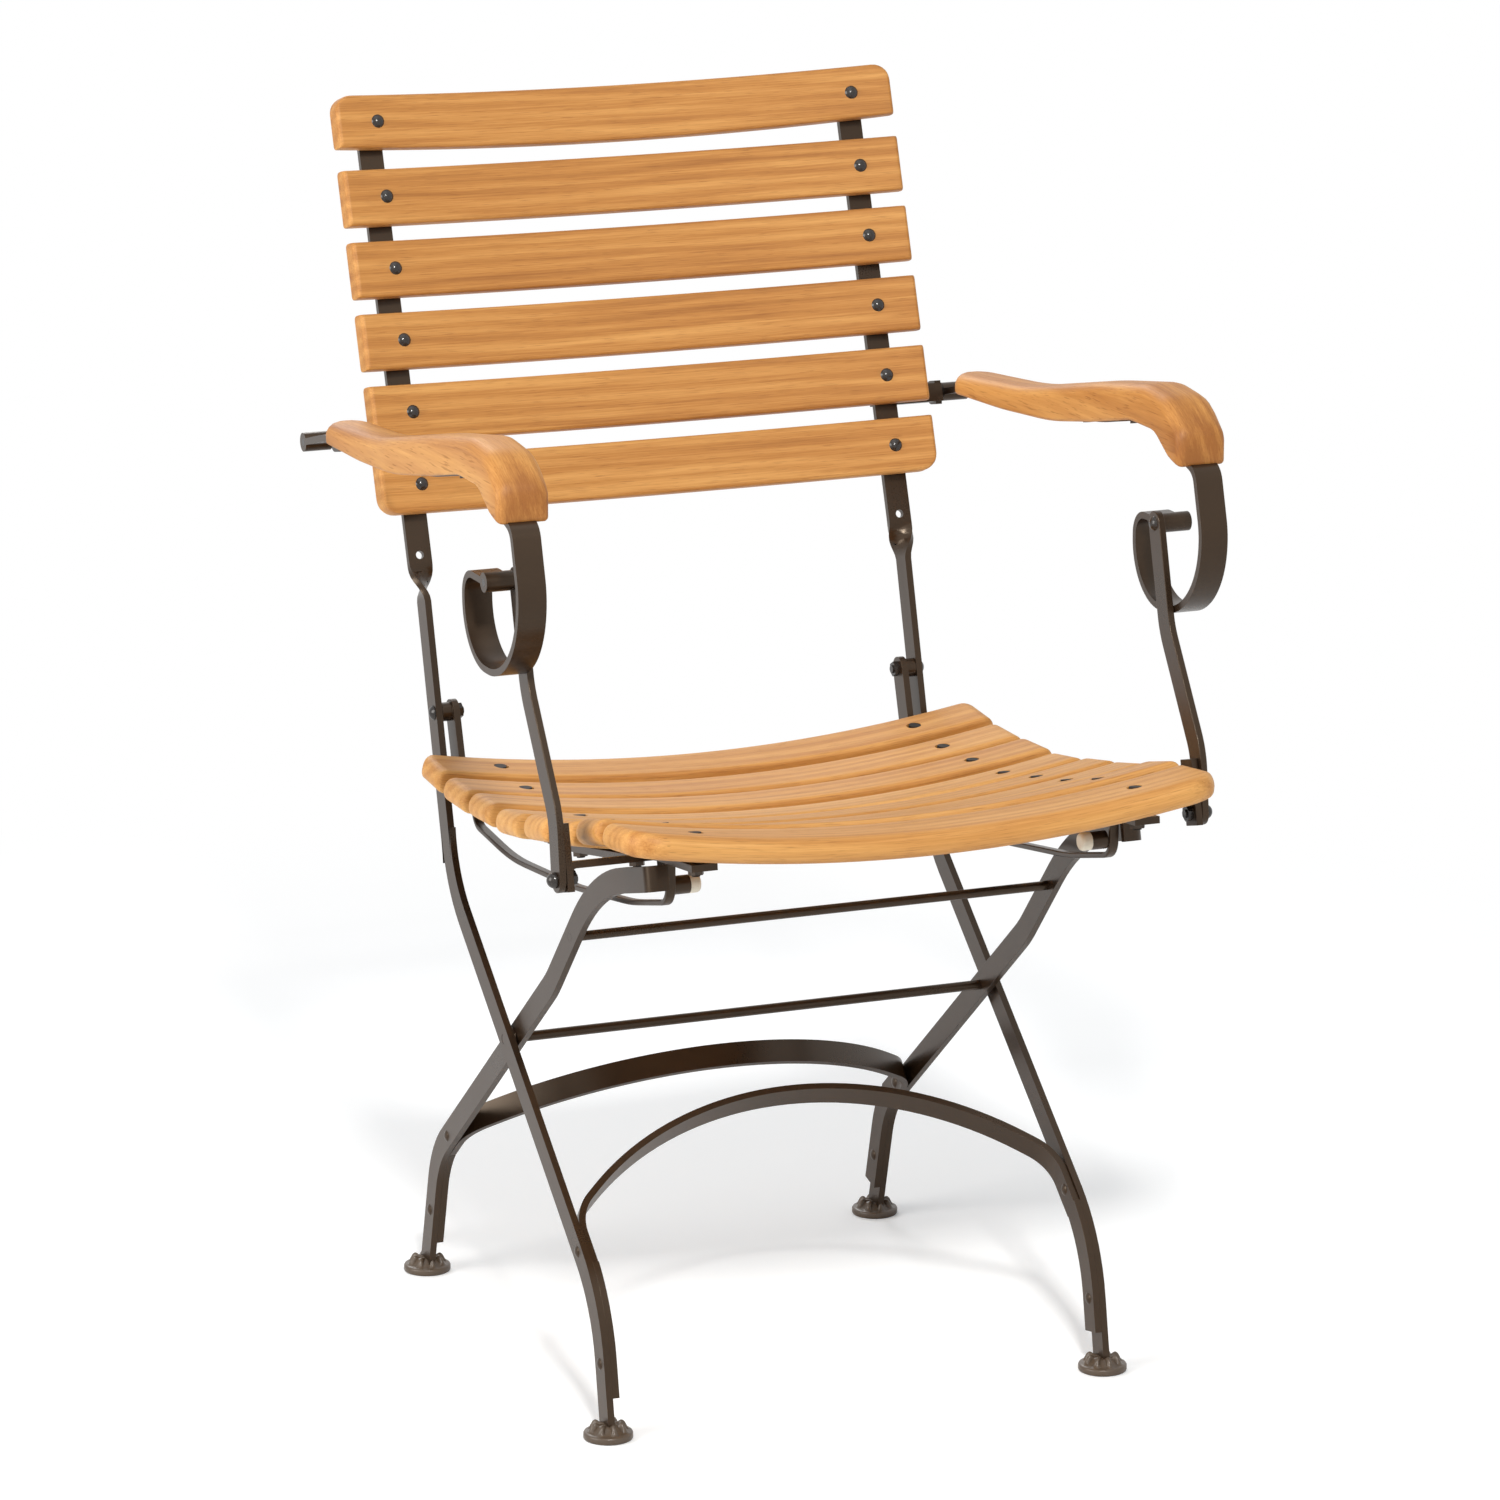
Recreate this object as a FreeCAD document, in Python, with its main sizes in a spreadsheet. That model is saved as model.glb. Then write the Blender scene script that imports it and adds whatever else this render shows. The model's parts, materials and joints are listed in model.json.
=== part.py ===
import FreeCAD, Part
import math
import os

from FreeCAD import Placement, Rotation, Vector

# Folding armchair with a steel flat-bar frame and teak slats.
# Millimetres. +X is the sitter's left as seen from the front, the front faces -Y, +Z is up.
# Side views are drawn in (y, z) from a point on the floor midway between the feet.
# At the end everything moves along y, so that the origin is under the middle of the outline.

doc = FreeCAD.newDocument("folding_armchair")
sheet = doc.addObject("Spreadsheet::Sheet", "Dimensions")

# Driving dimensions: name, value, meaning
DIMENSIONS = [
    ("bar_width", 18.0, "width of the flat bars of legs, uprights and struts"),
    ("bar_thick", 5.0, "thickness of every flat bar"),
    ("upright_in", 190.0, "inner face of the front legs, from the middle plane"),
    ("leg_gap", 2.5, "gap between a rear leg and a front leg, side by side"),
    ("moving_gap", 0.3, "least gap between pieces that move past one another"),
    ("seat_gap", 0.1, "gap between a curved piece and what it lies on"),
    ("rail_gap", 0.3, "gap left by the bends of the seat rails under slats and nuts"),
    ("running_fit", 0.05, "radial clearance of a pin in its bore"),
    ("pivot_y", 1.2, "leg pivot"),
    ("pivot_z", 238.4, "leg pivot"),
    ("hinge_y", 144.7, "seat hinge"),
    ("hinge_z", 449.2, "seat hinge"),
    ("strut_top_y", -165.5, "upper pivot of the arm strut"),
    ("strut_top_z", 617.8, "upper pivot of the arm strut"),
    ("strut_low_y", -243.5, "lower pivot of the arm strut"),
    ("strut_low_z", 424.0, "lower pivot of the arm strut"),
    ("leg_slope", 1.25, "run over rise of both leg bars at the pivot"),
    ("front_foot_y", -200.2, "front foot, middle"),
    ("rear_foot_y", 201.5, "rear foot, middle"),
    ("foot_radius", 17.8, "radius of a foot"),
    ("foot_height", 13.0, "height of a foot"),
    ("foot_floor", 5.0, "height of the leg's end inside its foot"),
    ("recline", 18.95, "recline of the back, in degrees"),
    ("twist_low_z", 528.0, "start of the quarter twist in an upright"),
    ("twist_rise", 28.0, "height of the quarter twist"),
    ("flat_y", 198.3, "upright's flat part: y of its middle at flat_z"),
    ("flat_z", 614.6, "upright's flat part: height where flat_y holds"),
    ("flat_out", 192.5, "upright's flat part: middle, from the middle plane"),
    ("bolt_out", 190.0, "bolts of the back, from the middle plane"),
    ("flat_top_z", 881.0, "top end of the upright"),
    ("vent_radius", 3.0, "small hole just above the twist"),
    ("vent_z", 560.5, "height of that hole"),
    ("back_slat_half", 222.5, "half length of a back slat"),
    ("back_slat_tall", 41.6, "height of a back slat"),
    ("back_slat_thick", 15.0, "thickness of a back slat"),
    ("back_bow", 2100.0, "radius of the hollow of a back slat"),
    ("back_low", -6.6, "lowest slat's bolt, along the back from flat_z"),
    ("back_pitch", 53.6, "distance between back slats 2 to 6"),
    ("back_top_pitch", 56.2, "distance between back slats 1 and 2"),
    ("smile_top", 2.6, "dip of the top edge of the top slat"),
    ("smile_low", 5.0, "dip of the bottom edge of the top slat"),
    ("slat_edge", 3.0, "rounding of the long edges of a slat"),
    ("slat_corner", 13.0, "rounding of the outer corners of the end slats"),
    ("bolt_radius", 3.0, "shank of a slat bolt"),
    ("bolt_slack", 0.25, "radial gap of a fixed bolt in its hole"),
    ("dome_radius", 5.5, "domed bolt head"),
    ("dome_tall", 3.2, "height of a domed head"),
    ("cap_tall", 6.0, "height of the capped ends of the lower strut bolts"),
    ("spot_deep", 0.7, "depth of the flat seat of a bolt head in a back slat"),
    ("nut_across", 10.0, "nut, across its flats"),
    ("nut_thick", 4.0, "thickness of a nut"),
    ("bolt_end", 1.2, "length of a bolt past its nut"),
    ("seat_slat_half", 222.0, "half length of a seat slat"),
    ("seat_corner", 8.0, "rounding of the corners of the seat slats, seen from above"),
    ("front_corner", 28.0, "rounding of the front corners of the front seat slat"),
    ("seat_slat_wide", 41.5, "width of a seat slat"),
    ("front_slat_wide", 60.0, "width of the front seat slat"),
    ("front_nose", 7.5, "rounding of the nose of the front seat slat"),
    ("seat_slat_thick", 18.0, "thickness of a seat slat"),
    ("seat_bow", 1200.0, "radius of the hollow of a seat slat"),
    ("rail_out", 165.6, "middle of a seat rail, from the middle plane"),
    ("rail_width", 19.0, "width of a seat rail"),
    ("rail_front_y", -318.0, "front end of the seat rails"),
    ("flush_radius", 5.0, "flush bolt head in a seat slat"),
    ("flush_deep", 3.0, "depth of its counterbore"),
    ("flush_head", 2.6, "thickness of a flush head"),
    ("rod_width", 7.0, "width of a guide rod, a flat wire"),
    ("rod_thick", 4.0, "thickness of a guide rod"),
    ("rod_out", 167.5, "middle of a guide rod, from the middle plane"),
    ("rod_front_y", -259.5, "front riser of a guide rod"),
    ("rod_rear_y", 130.0, "rear riser of a guide rod"),
    ("tab_in", 171.5, "inner end of a leg tab, from the middle plane"),
    ("tab_y", -267.0, "middle of a leg tab"),
    ("tab_drop", 2.0, "gap between the seat rail and the leg under it, at the tab"),
    ("stub_radius", 6.5, "guide stub"),
    ("stub_long", 12.0, "length of a guide stub"),
    ("stub_z", 414.3, "height of the guide stubs"),
    ("cap_long", 8.0, "length of its pale cap"),
    ("axle_radius", 3.6, "leg pivot axle"),
    ("tie_radius", 3.4, "upper cross rod"),
    ("tie_y", -116.0, "upper cross rod"),
    ("arch_front_bend", 250.0, "radius of the front arch"),
    ("arch_front_top", 77.0, "top of the front arch, below the pivot along the leg"),
    ("arch_rear_bend", 240.0, "radius of the rear arch"),
    ("arch_rear_top", 85.5, "top of the rear arch, below the pivot along the leg"),
    ("arch_side", 42.0, "slope of the arches where they leave the legs, in degrees"),
    ("arch_corner", 40.0, "radius of the arches where they leave the legs"),
    ("arch_end_z", 28.0, "height of the lower ends of the arches"),
    ("rivet_radius", 2.5, "rivets"),
    ("rivet_head", 4.5, "rivet heads"),
    ("rivet_tall", 1.8, "height of rivet heads"),
    ("strut_in", 240.5, "inner face of an arm strut, from the middle plane"),
    ("strap_in", "=strut_in + bar_thick + 0.5", "inner edge of an arm strap, from the middle plane"),
    ("strap_width", 20.5, "width of an arm strap"),
    ("eye_in", "=strut_in + bar_thick + moving_gap", "inner end of the eye at the strut"),
    ("eye_long", 21.6, "length of that eye"),
    ("eye_radius", 7.0, "outer radius of the eyes"),
    ("pin_radius", 3.0, "pivot bolts of seat, arms and struts"),
    ("wood_in", 235.7, "inner face of an armrest, from the middle plane"),
    ("wood_width", 38.1, "width of an armrest"),
    ("screw_radius", 2.0, "armrest screws"),
    ("screw_head", 4.0, "heads of the armrest screws"),
    ("screw_head_tall", 2.0, "height of those heads"),
    ("screw_deep", 9.0, "depth of the armrest screws in the wood"),
    ("bracket_tall", 14.0, "width of an arm bracket"),
    ("bracket_z", 33.6, "arm bracket's place along the back above flat_z"),
    ("bracket_play", 3.5, "gap between an arm bracket and the strap's inner edge"),
    ("flange_rise", 29.0, "height of a strut bracket's flange above the middle of its strap"),
    ("bracket_bend", 5.0, "bend in a strut bracket"),
    ("washer_radius", 8.0, "washers between the leg pairs"),
    ("lug_y", 128.0, "middle of a hinge lug's foot"),
    ("lug_foot", 11.0, "half length of that foot"),
    ("lug_rivet_y", 121.5, "rivet of a hinge lug"),
    ("toe_in", 5.0, "how far the rear end of an armrest turns in"),
    ("tab_bend", 8.0, "length of the bend between a rear leg and its tab"),
]

for row, (alias, value, meaning) in enumerate(DIMENSIONS, start=1):
    sheet.set("A%d" % row, alias)
    sheet.set("B%d" % row, str(value))
    sheet.set("C%d" % row, meaning)
    sheet.setAlias("B%d" % row, alias)
doc.recompute()


def size(alias):
    """Value of one cell of the sheet."""
    return float(sheet.get(alias))


def cell(alias):
    """Expression that reads one cell."""
    return "Dimensions." + alias


# Short names of the values that most pieces use
bar = size("bar_width")
thick = size("bar_thick")
upright_in = size("upright_in")
rear_in = upright_in - size("leg_gap") - thick
pivot = (size("pivot_y"), size("pivot_z"))
hinge = (size("hinge_y"), size("hinge_z"))
strut_top = (size("strut_top_y"), size("strut_top_z"))
strut_low = (size("strut_low_y"), size("strut_low_z"))
# The arm's rear pivot completes the parallelogram of seat, strut, arm and upright
arm_pivot = (hinge[0] + strut_top[0] - strut_low[0], hinge[1] + strut_top[1] - strut_low[1])
fit = size("running_fit")
NODES = {}


# Paths in a plane: straight runs joined by tangent arcs

def unit(p, q):
    length = math.dist(p, q)
    return ((q[0] - p[0]) / length, (q[1] - p[1]) / length)


def rounded(points, closed=False):
    """Runs and arcs through (a, b) or (a, b, radius) points: (start, middle or None, end)."""
    count = len(points)
    runs = []
    for i, point in enumerate(points):
        here = point[:2]
        if len(point) < 3 or (not closed and i in (0, count - 1)):
            runs.append((here, None, here))
            continue
        before = unit(here, points[i - 1][:2])
        after = unit(here, points[(i + 1) % count][:2])
        half = 0.5 * math.acos(before[0] * after[0] + before[1] * after[1])
        reach = point[2] / math.tan(half)
        to_centre = unit((0, 0), (before[0] + after[0], before[1] + after[1]))
        inset = point[2] / math.sin(half) - point[2]
        start = (here[0] + before[0] * reach, here[1] + before[1] * reach)
        middle = (here[0] + to_centre[0] * inset, here[1] + to_centre[1] * inset)
        end = (here[0] + after[0] * reach, here[1] + after[1] * reach)
        runs.append((start, middle, end))
    pieces = []
    for i, (start, middle, end) in enumerate(runs):
        if middle is not None:
            pieces.append((start, middle, end))
        if i + 1 < count or closed:
            following = runs[(i + 1) % count][0]
            if math.dist(end, following) > 1e-6:
                pieces.append((end, None, following))
    return pieces


def circle_of(start, middle, end):
    """Centre, radius and turn (+1 to the left) of the arc through three points."""
    curve = Part.Arc(flat(start), flat(middle), flat(end)).toShape().Curve
    cross = (middle[0] - start[0]) * (end[1] - start[1]) - (middle[1] - start[1]) * (end[0] - start[0])
    return (curve.Center.x, curve.Center.y), curve.Radius, (1 if cross > 0 else -1)


def shifted(path, distance):
    """The path moved sideways to its left."""
    moved = []
    for start, middle, end in path:
        if middle is None:
            along = unit(start, end)
            step = (-along[1] * distance, along[0] * distance)
            moved.append(((start[0] + step[0], start[1] + step[1]), None, (end[0] + step[0], end[1] + step[1])))
            continue
        centre, radius, turn = circle_of(start, middle, end)
        grow = (radius - turn * distance) / radius
        moved.append(tuple((centre[0] + (p[0] - centre[0]) * grow, centre[1] + (p[1] - centre[1]) * grow)
                           for p in (start, middle, end)))
    return moved


def along_path(path, at, axis=0):
    """Point and direction where the path crosses one coordinate value."""
    for start, middle, end in path:
        low, high = sorted((start[axis], end[axis]))
        if not low <= at <= high:
            continue
        if middle is None:
            along = unit(start, end)
            part = (at - start[axis]) / along[axis]
            return (start[0] + along[0] * part, start[1] + along[1] * part), along
        centre, radius, turn = circle_of(start, middle, end)
        other = 1 - axis
        side = 1 if middle[other] > centre[other] else -1
        point = [0, 0]
        point[axis] = at
        point[other] = centre[other] + side * math.sqrt(radius ** 2 - (at - centre[axis]) ** 2)
        return tuple(point), (-(point[1] - centre[1]) / radius * turn, (point[0] - centre[0]) / radius * turn)
    raise ValueError("the path does not reach %s" % at)


def reverse(path):
    return [(end, middle, start) for start, middle, end in reversed(path)]


def cut_path(path, low, high, axis):
    """The part of the path between two values of one coordinate."""
    kept = []
    for start, middle, end in path:
        ends = []
        for value in sorted((low, high), reverse=end[axis] < start[axis]):
            ends.append(min(max(value, min(start[axis], end[axis])), max(start[axis], end[axis])))
        if abs(ends[0] - ends[1]) < 1e-6:
            continue
        first = along_path([(start, middle, end)], ends[0], axis)[0]
        last = along_path([(start, middle, end)], ends[1], axis)[0]
        between = None if middle is None else along_path([(start, middle, end)], 0.5 * sum(ends), axis)[0]
        kept.append((first, between, last))
    return kept


def strip(path, width, round_start=False, round_end=False):
    """Closed outline of a strip of this width along the path."""
    left = shifted(path, width / 2)
    right = reverse(shifted(path, -width / 2))
    outline = list(left)
    for here, there, rounded_end, tip in ((left[-1][2], right[0][0], round_end, path[-1][2]),
                                          (right[-1][2], left[0][0], round_start, path[0][0])):
        across = unit(here, there)
        bulge = (tip[0] - across[1] * width / 2, tip[1] + across[0] * width / 2)
        cap = (here, bulge if rounded_end else None, there)
        outline = outline + [cap] if rounded_end or math.dist(here, there) > 1e-6 else outline
        if here == left[-1][2]:
            outline += right
    return outline


def flat(point):
    return Vector(point[0], point[1], 0)


def edges_of(outline):
    """Sketch geometry of an outline."""
    geometry = []
    for start, middle, end in outline:
        if middle is None:
            geometry.append(Part.LineSegment(flat(start), flat(end)))
        else:
            geometry.append(Part.Arc(flat(start), flat(middle), flat(end)))
    return geometry


# Features

def origin_plane(body, role):
    return next(f for f in body.Origin.OriginFeatures if f.Role == role)


def new_body(label):
    body = doc.addObject("PartDesign::Body", label)
    body.Label = label
    return body


def sketch_in(body, name, role, outline, place=None):
    """Sketch on one of the body's own origin planes, or at a placement measured from it."""
    sketch = body.newObject("Sketcher::SketchObject", name)
    sketch.AttachmentSupport = [(origin_plane(body, role), "")]
    sketch.MapMode = "FlatFace"
    if place is not None:
        sketch.AttachmentOffset = place
    sketch.addGeometry(edges_of(outline), False)
    return sketch


def side_plate(label, outline, inner, width, side):
    """Plate drawn in the side view; inner and width are expressions, side is 1 or -1."""
    body = new_body(label)
    sketch = sketch_in(body, label + "_outline", "YZ_Plane", outline)
    start = inner if side > 0 else "-(%s) - (%s)" % (inner, width)
    sketch.setExpression("AttachmentOffset.Base.z", start)
    pad = body.newObject("PartDesign::Pad", label + "_pad")
    pad.Profile = sketch
    pad.setExpression("Length", width)
    return body


def plate_at(label, outline, place, width):
    """Plate drawn in the plane of a placement and padded along its normal."""
    body = new_body(label)
    sketch = sketch_in(body, label + "_outline", "XY_Plane", outline, place)
    pad = body.newObject("PartDesign::Pad", label + "_pad")
    pad.Profile = sketch
    pad.setExpression("Length", width)
    pad.Midplane = True
    return body


def axes_at(point, x_axis, y_axis):
    """Placement with its own x and y axes along two given directions."""
    return Placement(Vector(*point), Rotation(Vector(*x_axis), Vector(*y_axis), Vector(), "XYZ"))


def pin_place(point, direction):
    """Placement whose z axis points in a direction."""
    return Placement(Vector(*point), Rotation(Vector(0, 0, 1), Vector(*direction)))


def cylinder(name, point, direction, radius, length):
    """Cylinder from a point along a direction; radius and length are expressions."""
    tool = doc.addObject("Part::Cylinder", name)
    tool.setExpression("Radius", radius)
    tool.setExpression("Height", length)
    tool.Placement = pin_place(point, direction)
    return tool


def joined(label, pieces):
    fused = doc.addObject("Part::MultiFuse", label)
    fused.Shapes = pieces
    return fused


def without(label, base, tools):
    """Base less one or more tools."""
    cut = doc.addObject("Part::Cut", label)
    cut.Base = base
    cut.Tool = tools[0] if len(tools) == 1 else joined(label + "_tools", tools)
    return cut


def common(label, base, tool):
    both = doc.addObject("Part::Common", label)
    both.Base = base
    both.Tool = tool
    return both


def node(label, feature):
    """Register a finished sub-part under its node name."""
    feature.Label = label
    NODES[label] = feature


def group(label, shapes):
    """Node of several separate solids that are placed copies of a few shapes."""
    feature = doc.addObject("Part::Feature", label)
    feature.Shape = Part.makeCompound(shapes)
    node(label, feature)


def placed(shape, point, direction):
    copy = shape.copy()
    copy.Placement = pin_place(point, direction)
    return copy


def turned(points):
    """Solid turned about the z axis from (radius, height) points, or (radius, height, rounding)."""
    outline = [(p[0], p[1], p[2]) if len(p) > 2 else p for p in points]
    edges = []
    for start, middle, end in rounded(outline, closed=True):
        a = Vector(start[0], 0, start[1])
        b = Vector(end[0], 0, end[1])
        if middle is None:
            edges.append(Part.LineSegment(a, b).toShape())
        else:
            edges.append(Part.Arc(a, Vector(middle[0], 0, middle[1]), b).toShape())
    face = Part.Face(Part.Wire(edges))
    return face.revolve(Vector(0, 0, 0), Vector(0, 0, 1), 360)


def domed_bolt(grip, shank, tall=size("dome_tall")):
    """Bolt along z: its head's seat at 0, its dome above, its shank below."""
    head = size("dome_radius")
    bend = (head ** 2 + tall ** 2) / (2 * tall)
    ball = Part.makeSphere(bend, Vector(0, 0, tall - bend))
    dome = ball.common(Part.makeCylinder(head, tall))
    return dome.fuse(Part.makeCylinder(shank, grip + 0.5, Vector(0, 0, -grip))).removeSplitter()


def rivet(grip, second_head=True):
    """Rivet along z: the seat of its head at 0, the second head under the grip."""
    head = size("rivet_head")
    tall = size("rivet_tall")
    bend = (head ** 2 + tall ** 2) / (2 * tall)
    dome = Part.makeSphere(bend, Vector(0, 0, tall - bend)).common(Part.makeCylinder(head, tall))
    body = dome.fuse(Part.makeCylinder(size("rivet_radius"), grip + 0.5, Vector(0, 0, -grip)))
    if second_head:
        other = dome.mirror(Vector(0, 0, -grip / 2), Vector(0, 0, 1))
        body = body.fuse(other)
    return body.removeSplitter()


def nut(shank):
    """Hexagon nut along z, its seat at 0 and its body below."""
    corner = size("nut_across") / math.sqrt(3)
    corners = [Vector(corner * math.cos(math.radians(60 * k)), corner * math.sin(math.radians(60 * k)), 0)
               for k in range(7)]
    prism = Part.Face(Part.makePolygon(corners)).extrude(Vector(0, 0, -size("nut_thick")))
    return prism.cut(Part.makeCylinder(shank + fit, size("nut_thick"), Vector(0, 0, -size("nut_thick"))))


SIDES = (("right", 1), ("left", -1))

# Side view of the front legs and uprights, up to the twist
leg_slope = size("leg_slope")
front_leg = [
    (size("front_foot_y") + 1.0, size("foot_floor")),
    (-182.2, 94.0, 110.0),
    (pivot[0] + leg_slope * 93.0, pivot[1] + 93.0, 90.0),
    (119.5, 349.5, 120.0),
    (169.3, size("twist_low_z")),
]
front_path = rounded(front_leg)

# Seat: the line through the bolt heads on top of the slats, from the rear to the front
seat_line = rounded([(142.0, 425.0), (35.0, 416.2, 250.0), (-70.0, 420.5, 250.0), (-190.0, 442.5, 300.0),
                     (-245.0, 457.0, 150.0), (-335.0, 467.5)])
SEAT_STATIONS = (84.0, 31.0, -22.0, -78.0, -135.0, -186.0, -238.0, -298.5)
seat_thick = size("seat_slat_thick")
seat_bow = size("seat_bow")
rail_half = size("rail_width") / 2
rail_out = size("rail_out")


def bow_rise(x):
    """Rise of a seat slat's underside at x, above its middle."""
    radius = seat_bow + seat_thick
    return radius - math.sqrt(radius ** 2 - x ** 2)


seat_head_rise = seat_bow - math.sqrt(seat_bow ** 2 - rail_out ** 2)
# Under the slats the rails touch at their inner edges
rail_top = seat_thick + seat_head_rise - bow_rise(rail_out - rail_half) + size("rail_gap")
rail_path = cut_path(shifted(seat_line, rail_top + thick / 2), size("rail_front_y"), 140.0, 0)
rail_low = shifted(seat_line, rail_top + thick)

# Side view of the rear legs, up to the tab
tab_z = along_path(rail_low, size("tab_y"))[0][1] - bar / 2 - size("tab_drop")
rear_leg = [
    (size("rear_foot_y") - 1.2, size("foot_floor")),
    (174.6, 100.3, 80.0),
    (pivot[0] - leg_slope * 60.0, pivot[1] + 60.0, 110.0),
    (-164.4, 397.2, 190.0),
    (size("tab_y") + thick / 2, tab_z),
]
rear_path = rounded(rear_leg)

# The back's own directions in the side view: up along the back and out of its front
tilt = math.radians(size("recline"))
back_up = (math.sin(tilt), math.cos(tilt))
back_out = (-math.cos(tilt), math.sin(tilt))
back_origin = (size("flat_y"), size("flat_z"))


def on_back(up, out):
    """Side-view point up along the back and out from the middle of the upright's flat part."""
    return (back_origin[0] + back_up[0] * up + back_out[0] * out,
            back_origin[1] + back_up[1] * up + back_out[1] * out)


def twist_sections(body, label, side):
    """Rectangles that turn a quarter turn from the side-on bar to the flat part."""
    low = front_path[-1][2]
    low_dir = unit(front_path[-1][0], low)
    top_z = size("twist_low_z") + size("twist_rise")
    top = on_back((top_z - back_origin[1]) / back_up[1], 0)
    steps = 8
    sections = []
    for step in range(steps + 1):
        share = step / steps
        smooth = share * share * (3 - 2 * share)
        turn = math.radians(90 * smooth)
        centre = Vector(side * (upright_in + thick / 2 + (size("flat_out") - upright_in - thick / 2) * smooth),
                        low[0] + (top[0] - low[0]) * share, low[1] + (top[1] - low[1]) * share)
        lean = Vector(0, low_dir[0] + (back_up[0] - low_dir[0]) * share,
                      low_dir[1] + (back_up[1] - low_dir[1]) * share).normalize()
        across = Vector(0, lean.z, -lean.y)
        wide = across * math.cos(turn) + Vector(-side, 0, 0) * math.sin(turn)
        outline = rounded([(-bar / 2, -thick / 2), (bar / 2, -thick / 2),
                           (bar / 2, thick / 2), (-bar / 2, thick / 2)], closed=True)
        place = Placement(centre, Rotation(wide, lean.cross(wide), lean, "XYZ"))
        sections.append(sketch_in(body, "%s_twist_%d" % (label, step), "XY_Plane", outline, place))
    return sections


def upright(label, side, holes):
    """Front leg and upright in one bar."""
    leg = side_plate(label + "_leg", strip(front_path, bar), cell("upright_in"), cell("bar_thick"), side)
    twist = new_body(label + "_twist")
    sections = twist_sections(twist, label, side)
    loft = twist.newObject("PartDesign::AdditiveLoft", label + "_loft")
    loft.Profile = sections[0]
    loft.Sections = sections[1:]
    loft.Ruled = True
    base = on_back((size("twist_low_z") + size("twist_rise") - back_origin[1]) / back_up[1], 0)
    top = on_back((size("flat_top_z") - back_origin[1]) / back_up[1], 0)
    flat_part = side_plate(label + "_flat", strip([(base, None, top)], thick),
                           "%s - %s / 2" % (cell("flat_out"), cell("bar_width")), cell("bar_width"), side)
    bars = joined(label + "_bars", [leg, twist, flat_part])
    node(label, without(label, bars, holes))


# Back slats: where their bolts cross the front face of the upright's flat part
slat_ups = [size("back_low") + size("back_pitch") * k for k in range(5)]
slat_ups.append(slat_ups[-1] + size("back_top_pitch"))
slat_ups.reverse()
face = thick / 2
bow = size("back_bow")
back_thick = size("back_slat_thick")
# The hollow slat touches the flat upright along the upright's inner edge
inner_edge = size("flat_out") - bar / 2
back_rise = (bow + back_thick) - math.sqrt((bow + back_thick) ** 2 - inner_edge ** 2)
slat_back = face + size("seat_gap") - back_rise
slat_front = slat_back + back_thick
head_rise = bow - math.sqrt(bow ** 2 - size("bolt_out") ** 2)
head_seat = slat_front + head_rise - size("spot_deep")


def bowed_slat(label, axis_point, angle, radius, wide, thickness, half, corners):
    """Slat bent about a distant axis. The sketch's v axis is the axis of the bend."""
    body = new_body(label)
    low, high = corners
    outline = rounded([(radius, -wide / 2, low), (radius + thickness, -wide / 2, low),
                       (radius + thickness, wide / 2, high), (radius, wide / 2, high)], closed=True)
    place = Placement(Vector(axis_point[0], axis_point[1], 0), Rotation(Vector(0, 0, 1), angle))
    sketch = sketch_in(body, label + "_section", "YZ_Plane", outline, place)
    bend = body.newObject("PartDesign::Revolution", label + "_bend")
    bend.Profile = sketch
    bend.ReferenceAxis = (sketch, ["V_Axis"])
    bend.Midplane = True
    bend.Angle = 2 * math.degrees(math.asin(half / (radius + thickness / 2)))
    return body


def back_slat(number):
    """One back slat, with its bolt holes and the flat seats of the bolt heads."""
    label = "back_slat_%d" % number
    up = slat_ups[number - 1]
    axis_point = on_back(up, slat_front + bow)
    edge = size("slat_edge")
    tall = size("back_slat_tall")
    shaped = number in (1, 6)
    extra = 2 * size("smile_low") if number == 1 else 0
    body = bowed_slat(label + "_blank", axis_point, -size("recline"), bow, tall + extra, back_thick,
                      size("back_slat_half"), (edge, edge))
    if shaped:
        half = size("back_slat_half") + 1
        corner = size("slat_corner")
        high = tall / 2
        if number == 1:
            mid = high - size("smile_top")
            low_mid = -high - size("smile_low") * 0.5
            low_end = low_mid + size("smile_low")
            outline = [((-half, high - corner), None, (-half, low_end)),
                       ((-half, low_end), (0, low_mid), (half, low_end)),
                       ((half, low_end), None, (half, high - corner)),
                       ((half, high - corner), (half - 0.29 * corner, high - 0.29 * corner),
                        (half - corner, high)),
                       ((half - corner, high), (0, mid), (corner - half, high)),
                       ((corner - half, high), (0.29 * corner - half, high - 0.29 * corner),
                        (-half, high - corner))]
        else:
            outline = rounded([(-half, high), (-half, -high - 1, corner), (half, -high - 1, corner),
                               (half, high)], closed=True)
        middle = on_back(up, slat_front)
        place = axes_at((0, middle[0], middle[1]), (1, 0, 0), (0, back_up[0], back_up[1]))
        window = plate_at(label + "_window", outline, place, "4 * " + cell("back_slat_thick"))
        body = common(label + "_shaped", body, window)
    tools = []
    for side in (1, -1):
        x = side * size("bolt_out")
        back = on_back(up, face - 1)
        seat = on_back(up, head_seat)
        out = (0, back_out[0], back_out[1])
        tools.append(cylinder("%s_hole" % label, (x, back[0], back[1]), out,
                              "%s + %s" % (cell("bolt_radius"), cell("bolt_slack")), "60"))
        tools.append(cylinder("%s_spot" % label, (x, seat[0], seat[1]), out,
                              "%s + %s" % (cell("dome_radius"), cell("bolt_slack")), "20"))
    node(label, without(label, body, tools))


def through_back(up, x, radius):
    """Hole through an upright's flat part, square to the back."""
    start = on_back(up, -20)
    return cylinder("back_hole", (x, start[0], start[1]), (0, back_out[0], back_out[1]), radius, "40")


for number in range(1, 7):
    back_slat(number)

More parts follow.
